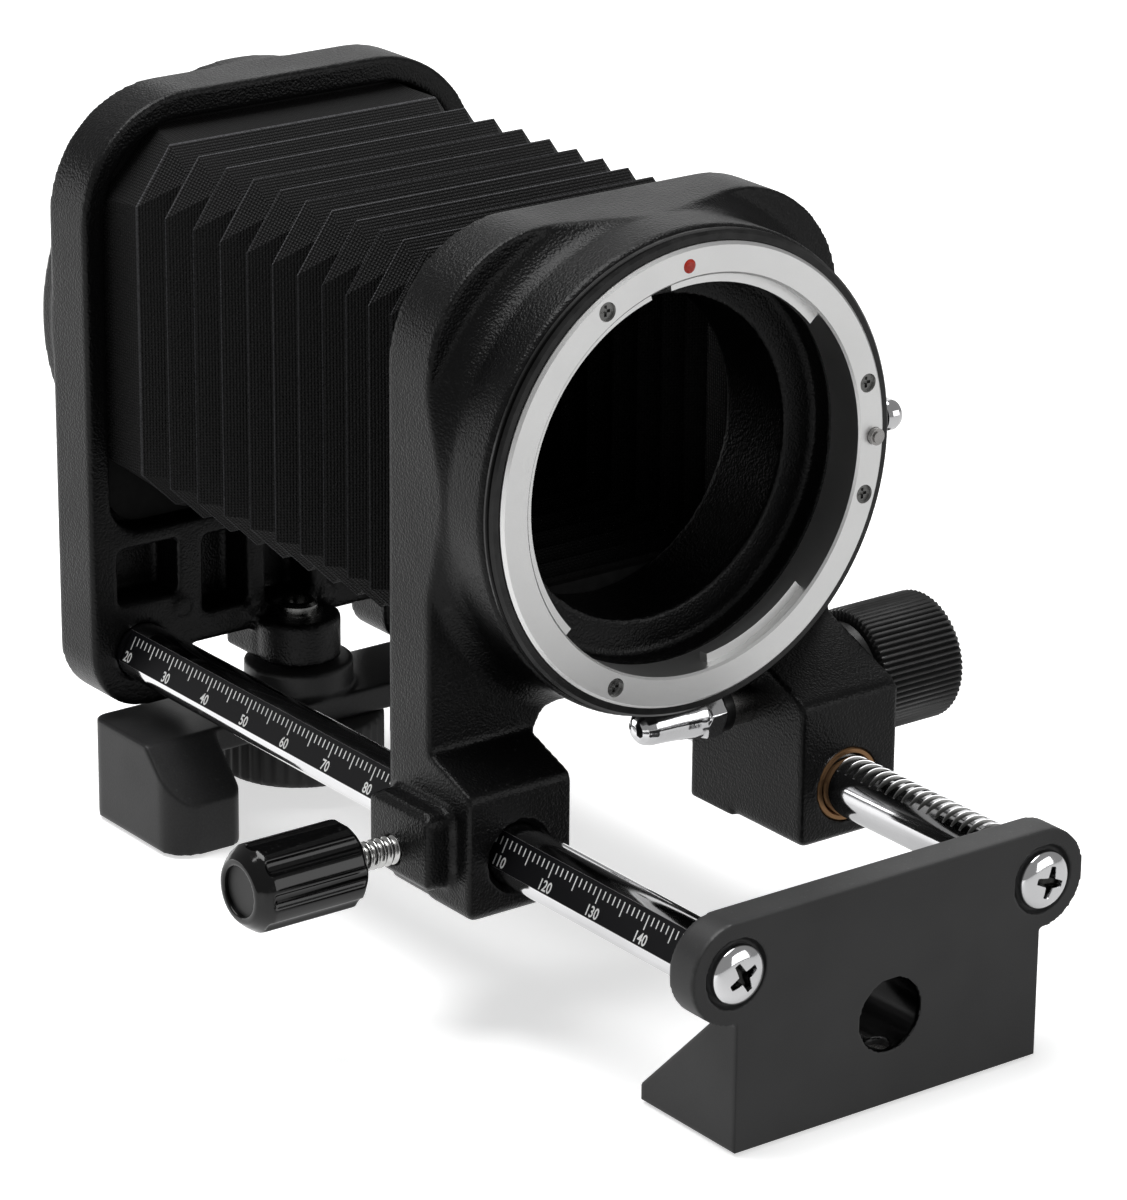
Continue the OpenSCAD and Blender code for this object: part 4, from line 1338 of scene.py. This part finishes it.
@dataclass
class PlateScrews:
    """The two raised-head screws in the end plate, with their cross recess, in millimetres.

    Attributes:
        hub: Radius of the innermost ring of points.
        head: Radius of a head.
        bunching: Power by which the rings lie closer towards the middle.
        bulge: Power of the dome's outline.
        edge: Height of the head's straight edge.
        rise: Height of the whole head.
        bevel: Width of the bevel round its underside.
        arm: Half of the recess's length.
        slot: Half of an arm's width at the middle.
        taper: How fast an arm narrows.
        wall: Width of the recess's sloping wall.
        recess: Depth of the recess in its middle.
        cone: Share of that depth that is lost towards the arms' ends.
        shank: Radius of the shank.
        shade: Depth below the head's top from which on the recess is painted dark as shade.
        turns: How far each recess is turned, in degrees.
    """

    node: str = "end_plate_screws"
    hub: float = 0.02
    head: float = 4.0
    bunching: float = 1.15
    bulge: float = 2.3
    edge: float = 1.1
    rise: float = 2.6
    bevel: float = 0.1
    arm: float = 2.15
    slot: float = 0.72
    taper: float = 0.16
    wall: float = 0.14
    recess: float = 1.5
    cone: float = 0.3
    shank: float = 2.0
    shade: float = 0.75
    turns: tuple[float, float] = (28.0, -17.0)
    around: int = 144
    rings: int = 64
    soft: float = 30.0

    def sunk(self, x: float, z: float) -> float:
        """Depth of the recess at a place on the head.

        Args:
            x: Millimetres from the head's axis along one arm.
            z: Millimetres along the other arm.

        Returns:
            The depth in millimetres, 0 outside the recess.
        """
        inside = max(min(self.slot - self.taper * abs(b) - abs(a), self.arm - abs(b))
                     for a, b in ((x, z), (z, x)))
        wall = min(1.0, max(0.0, inside / self.wall))
        return wall * self.recess * (1 - self.cone * math.hypot(x, z) / self.arm)

    def profile(self, length: float) -> list[tuple[float, float]]:
        """Half of a screw's outline.

        Args:
            length: Length of head and shank.

        Returns:
            Radius and depth, from the middle of the domed head over its edge to the shank's end.
        """
        dome = self.rise - self.edge
        radii = [self.hub] + [self.head * ((i + 1) / self.rings) ** self.bunching for i in range(self.rings)]
        crown = [(r, dome - dome * max(0.0, 1 - (r / self.head) ** self.bulge) ** 0.5) for r in radii]
        under = [(self.head, self.rise - self.bevel), (self.head - self.bevel, self.rise)]
        return crown + under + [(self.shank, self.rise), (self.shank, length)]

    def rows(self, place: Point, length: float, turn: float) -> list[list[Point]]:
        """Rings of points along one screw.

        Args:
            place: Middle of the head's face, in metres.
            length: Length of head and shank.
            turn: Turn of the recess in degrees.

        Returns:
            The rings, in metres.
        """
        rows: list[list[Point]] = []
        for r, back in self.profile(length):
            row: list[Point] = []
            for j in range(self.around):
                a = 2 * math.pi * j / self.around
                t = a - math.radians(turn)
                domed = back < self.rise - self.edge
                depth = self.sunk(r * math.cos(t), r * math.sin(t)) if domed else 0.0
                offset = (r * math.cos(a), back + depth, r * math.sin(a))
                row.append(tuple(p + d * MM for p, d in zip(place, offset)))
            rows.append(row)
        return rows

    def build(self) -> None:
        """Turns both screws and paints shade into their recesses."""
        low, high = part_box(self.node)
        aside = RODS.spacing / 2 * MM
        length = (high.y - low.y) / MM
        mesh = joined("plate_screws", [turned("plate_screw", self.rows((x, low.y, RODS.height), length, turn))
                                       for x, turn in zip((-aside, aside), self.turns)])
        stand_in("plate_screws", mesh, self.node, self.soft)
        # faces deep in each cross recess get a near-black finish, painted shade
        mesh.materials.append(RECESS_SHADE.material())
        for face in mesh.polygons:
            reach = math.hypot(abs(face.center.x) - aside, face.center.z - RODS.height)
            if reach < self.arm * MM and face.center.y > low.y + self.shade * MM:
                face.material_index = 1


@dataclass
class LockSpring:
    """The coil behind the lens lock pin, which closes up when the pin slides back."""

    node: str = "lock_pin_spring"
    soft: float = 50.0

    def build(self) -> None:
        """Copies the coil and lets it give way between its pocket and the pin."""
        low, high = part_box(self.node)
        mesh = merged_copy(self.node, "lock_coil")
        smooth(mesh, self.soft)
        middle = (low + high) / 2
        pocket = Vector((middle.x, high.y, middle.z))
        pin = Vector((middle.x, low.y, middle.z))
        bend("lock_coil", mesh, self.node, (Body.CARRIAGE, pocket), (Body.LENS_LOCK, pin))


@dataclass
class DriveKnob:
    """The drive knob with its fine straight knurl, in millimetres.

    Attributes:
        groove: Depth of the knurl.
        crest: Power that makes its ribs blunt.
        bore: Radius of the hole for the shaft.
        shoulder: Outline from the inner face on: the distance from that face, the depth below the
            ribs and the share of knurl.
        rim: The same up to the outer face, with the distance from that face.
        dimple: Distance from the outer face and radius, in its middle.
    """

    node: str = "drive_knob"
    teeth: int = 64
    per_tooth: int = 8
    groove: float = 0.6
    crest: float = 0.7
    bore: float = 1.8
    shoulder: tuple[Point, ...] = (
        (0.0, 1.9, 0.0), (1.1, 1.6, 0.0), (1.2, 0.8, 0.2), (1.45, 0.25, 0.75), (1.9, 0.0, 1.0))
    rim: tuple[Point, ...] = ((0.6, 0.0, 1.0), (0.3, 0.15, 0.9), (0.05, 0.5, 0.4), (0.0, 1.1, 0.0))
    dimple: tuple[tuple[float, float], ...] = ((0.0, 3.0), (0.15, 1.0))
    soft: float = 32.0

    def profile(self, length: float, radius: float) -> list[tuple[float, float, float]]:
        """Half of the knob's outline.

        Args:
            length: Length of the knob.
            radius: Radius over its ribs.

        Returns:
            Place along the axis, radius and share of knurl, from the inner face out to the rim.
        """
        inner = [(along, radius - drop, share) for along, drop, share in self.shoulder]
        outer = [(length - back, radius - drop, share) for back, drop, share in self.rim]
        middle = [(length - back, r, 0.0) for back, r in self.dimple]
        return [(0.0, self.bore, 0.0)] + inner + outer + middle

    def build(self) -> None:
        """Sweeps the knurled outline along the profile."""
        low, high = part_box(self.node)
        radius, length = (high.z - low.z) / 2 / MM, (high.x - low.x) / MM
        waves = [0.5 - 0.5 * math.cos(2 * math.pi * j / self.per_tooth) for j in range(self.per_tooth)]
        grooves = [self.groove * (1 - wave ** self.crest) for wave in waves] * self.teeth
        rows: list[list[Point]] = []
        for along, r, share in self.profile(length, radius):
            radii = [(r - share * groove) * MM for groove in grooves]
            rows.append(points_round((low + high) / 2, low.x + along * MM, radii))
        stand_in("drive_knob_knurled", turned("drive_knob_knurled", rows), self.node, self.soft)


@dataclass
class BareNodes:
    """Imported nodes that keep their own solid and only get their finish."""

    dressed: list[str] = field(default_factory=list)

    def build(self) -> None:
        """Gives each node the material of its finish."""
        for name, obj in frame["nodes"].items():
            if not obj.hide_render:
                paint(obj.data, NODE_FINISH[name])
                self.dressed.append(name)
        LOG.info("dressed %d packed nodes", len(self.dressed))


# ---------------------------------------------------------------- studio


@dataclass(frozen=True)
class Lamp:
    """A soft box that faces the object, with its sizes in metres and its power in watts."""

    name: str
    place: Point
    size: tuple[float, float]
    power: float

    def build(self, target: Point) -> None:
        """Hangs the lamp.

        Args:
            target: The point that it faces.
        """
        data = bpy.data.lights.new(self.name, "AREA")
        data.shape = "RECTANGLE"
        data.size, data.size_y = self.size
        data.energy = self.power
        facing = (Vector(target) - Vector(self.place)).to_track_quat("-Z", "Y")
        place = Matrix.Translation(self.place) @ facing.to_matrix().to_4x4()
        new_object(self.name, data).matrix_world = place


@dataclass
class Studio:
    """Pale floor, soft lights and the camera at the photograph's viewing angle.

    Lengths are in metres, azimuth and elevation in degrees, roll in radians, lens and sensor in
    millimetres.

    Attributes:
        centre: Where the lamps face.
        sky_level: Brightness of the surround as a light.
        gloss_level: Its brightness in reflections.
        floor_tones: The two tones of the floor to the camera.
        floor_patches: Patches of these tones in a metre.
        floor_bounce: Tone of the floor to everything but the camera.
        floor_glow: The floor's glow to the camera near the object; it is 1 far from it.
        glow_reach: Where that glow begins and ends to rise.
        floor_shine: The floor's glow in reflections, before and beside the object.
        floor_shine_behind: The same behind the object's left.
        shine_reach: Where it begins and ends to rise, along behind.
    """

    eye: Point = (-0.388996, -0.458741, 0.288884)
    azimuth: float = -36.849
    elevation: float = 20.429
    roll: float = 0.009
    lens: float = 154.145
    sensor: float = 36.0
    clip: tuple[float, float] = (0.01, 20.0)
    centre: Point = (0.0, 0.06, 0.05)
    lamps: tuple[Lamp, ...] = (
        Lamp("back_box", (0.55, 0.7, 0.42), (0.5, 0.5), 0.65),
        Lamp("top_box", (-0.1, 0.2, 0.8), (0.6, 0.6), 7.8),
        Lamp("left_box", (-0.62, 0.95, 0.1), (0.7, 0.18), 0.9),
        Lamp("front_fill", (0.45, -0.85, 0.3), (0.7, 0.5), 2.4),
    )
    sky_level: float = 0.12
    gloss_level: float = 0.3
    floor_size: float = 3.0
    floor_drop: float = 0.0005
    floor_tones: tuple[float, float] = (0.93, 0.9)
    floor_patches: float = 6.0
    floor_bounce: float = 0.3
    floor_glow: float = 0.6
    glow_reach: tuple[float, float] = (0.3, 1.2)
    floor_shine: float = 0.42
    floor_shine_behind: float = 1.0
    shine_reach: tuple[float, float] = (-0.06, 0.12)
    behind: Point = (-0.7, 0.7, 0.0)

    def camera(self) -> None:
        """Places the camera."""
        az, el = math.radians(self.azimuth), math.radians(self.elevation)
        back = Vector((math.sin(az) * math.cos(el), -math.cos(az) * math.cos(el), math.sin(el)))
        right = Vector((math.cos(az), math.sin(az), 0.0))
        up = back.cross(right)
        turn_right = right * math.cos(self.roll) + up * math.sin(self.roll)
        turn_up = up * math.cos(self.roll) - right * math.sin(self.roll)
        data = bpy.data.cameras.new("camera")
        data.lens = self.lens
        data.sensor_width = self.sensor
        data.clip_start, data.clip_end = self.clip
        turned_to = Matrix((turn_right, turn_up, back)).transposed().to_4x4()
        bpy.context.scene.camera = new_object("camera", data)
        bpy.context.scene.camera.matrix_world = Matrix.Translation(self.eye) @ turned_to

    def world(self) -> None:
        """A white surround for the camera, a dimmer one for gloss and a dim one for the light."""
        world = bpy.data.worlds.new("studio_surround")
        world.use_nodes = True
        bpy.context.scene.world = world
        s = Sheet(world.node_tree)
        ground = world.node_tree.nodes["Background"].inputs
        rays = s.add("ShaderNodeLightPath").outputs
        shine = s.times(rays["Is Glossy Ray"], self.gloss_level)
        level = s.math("MAXIMUM", s.math("MAXIMUM", rays["Is Camera Ray"], shine), self.sky_level)
        s.feed(ground["Color"], grey(1.0))
        s.feed(ground["Strength"], level)

    def floor(self) -> None:
        """A wide pale floor, white to the camera, that keeps the object's shadow."""
        s = Surface("floor_white")
        rays = s.add("ShaderNodeLightPath").outputs
        seen = rays["Is Camera Ray"]
        first, second = self.floor_tones
        pale = s.blend(s.noise(s.place, self.floor_patches), grey(first), grey(second))
        near = s.span(s.vector("LENGTH", s.place), *self.glow_reach, (self.floor_glow, 1.0))
        aside = s.vector("DOT_PRODUCT", s.place, self.behind)
        shine = s.span(aside, *self.shine_reach, (self.floor_shine, self.floor_shine_behind), smooth=True)
        glow = s.math("ADD", s.times(seen, near), s.times(rays["Is Glossy Ray"], shine))
        s.put(Base_Color=s.blend(seen, grey(self.floor_bounce), pale), Roughness=0.9, Specular_IOR_Level=0.1,
              Emission_Color=grey(1.0), Emission_Strength=glow)
        half, drop = self.floor_size, -self.floor_drop
        mesh = bpy.data.meshes.new("floor")
        mesh.from_pydata([(-half, -half, drop), (half, -half, drop), (half, half, drop), (-half, half, drop)],
                         [], [(0, 1, 2, 3)])
        mesh.materials.append(s.material)
        obj = new_object("floor", mesh)

    def build(self) -> None:
        """Makes camera, lights, surround and floor."""
        self.camera()
        for lamp in self.lamps:
            lamp.build(self.centre)
        self.world()
        self.floor()
        bpy.context.scene.view_settings.view_transform = "Standard"
        LOG.info("studio ready")


# ---------------------------------------------------------------- the whole


def rounded_solids() -> Iterable[RoundedSolid]:
    """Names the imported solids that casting, moulding or tumbling has rounded.

    Returns:
        The solids with their fineness.
    """
    yield RoundedSolid("rear_standard", 0.48, 2)
    yield RoundedSolid("front_standard", 0.48, 1)
    yield RoundedSolid("rear_foot", 0.36, 2)
    # the bore's wall gets a near-black finish, painted shade
    yield RoundedSolid("end_plate", 0.3, 1, Bore(12.4, 5.0, BORE_SHADE))
    yield RoundedSolid("clamp_knob", 0.2, 4)
    yield RoundedSolid("foot_lock_wheel", 0.3, 2)
    yield RoundedSolid("drive_cap_nut", 0.14, 3)


def main() -> None:
    """Builds every sub-assembly in order, then the studio."""
    Bellows().build()
    for solid in rounded_solids():
        solid.build()
    DriveKnob().build()
    PlateScrews().build()
    LockSpring().build()
    ClampScrew().build()
    ScaleMarks().build()
    BareNodes().build()
    Studio().build()


if __name__ == "__main__":
    main()
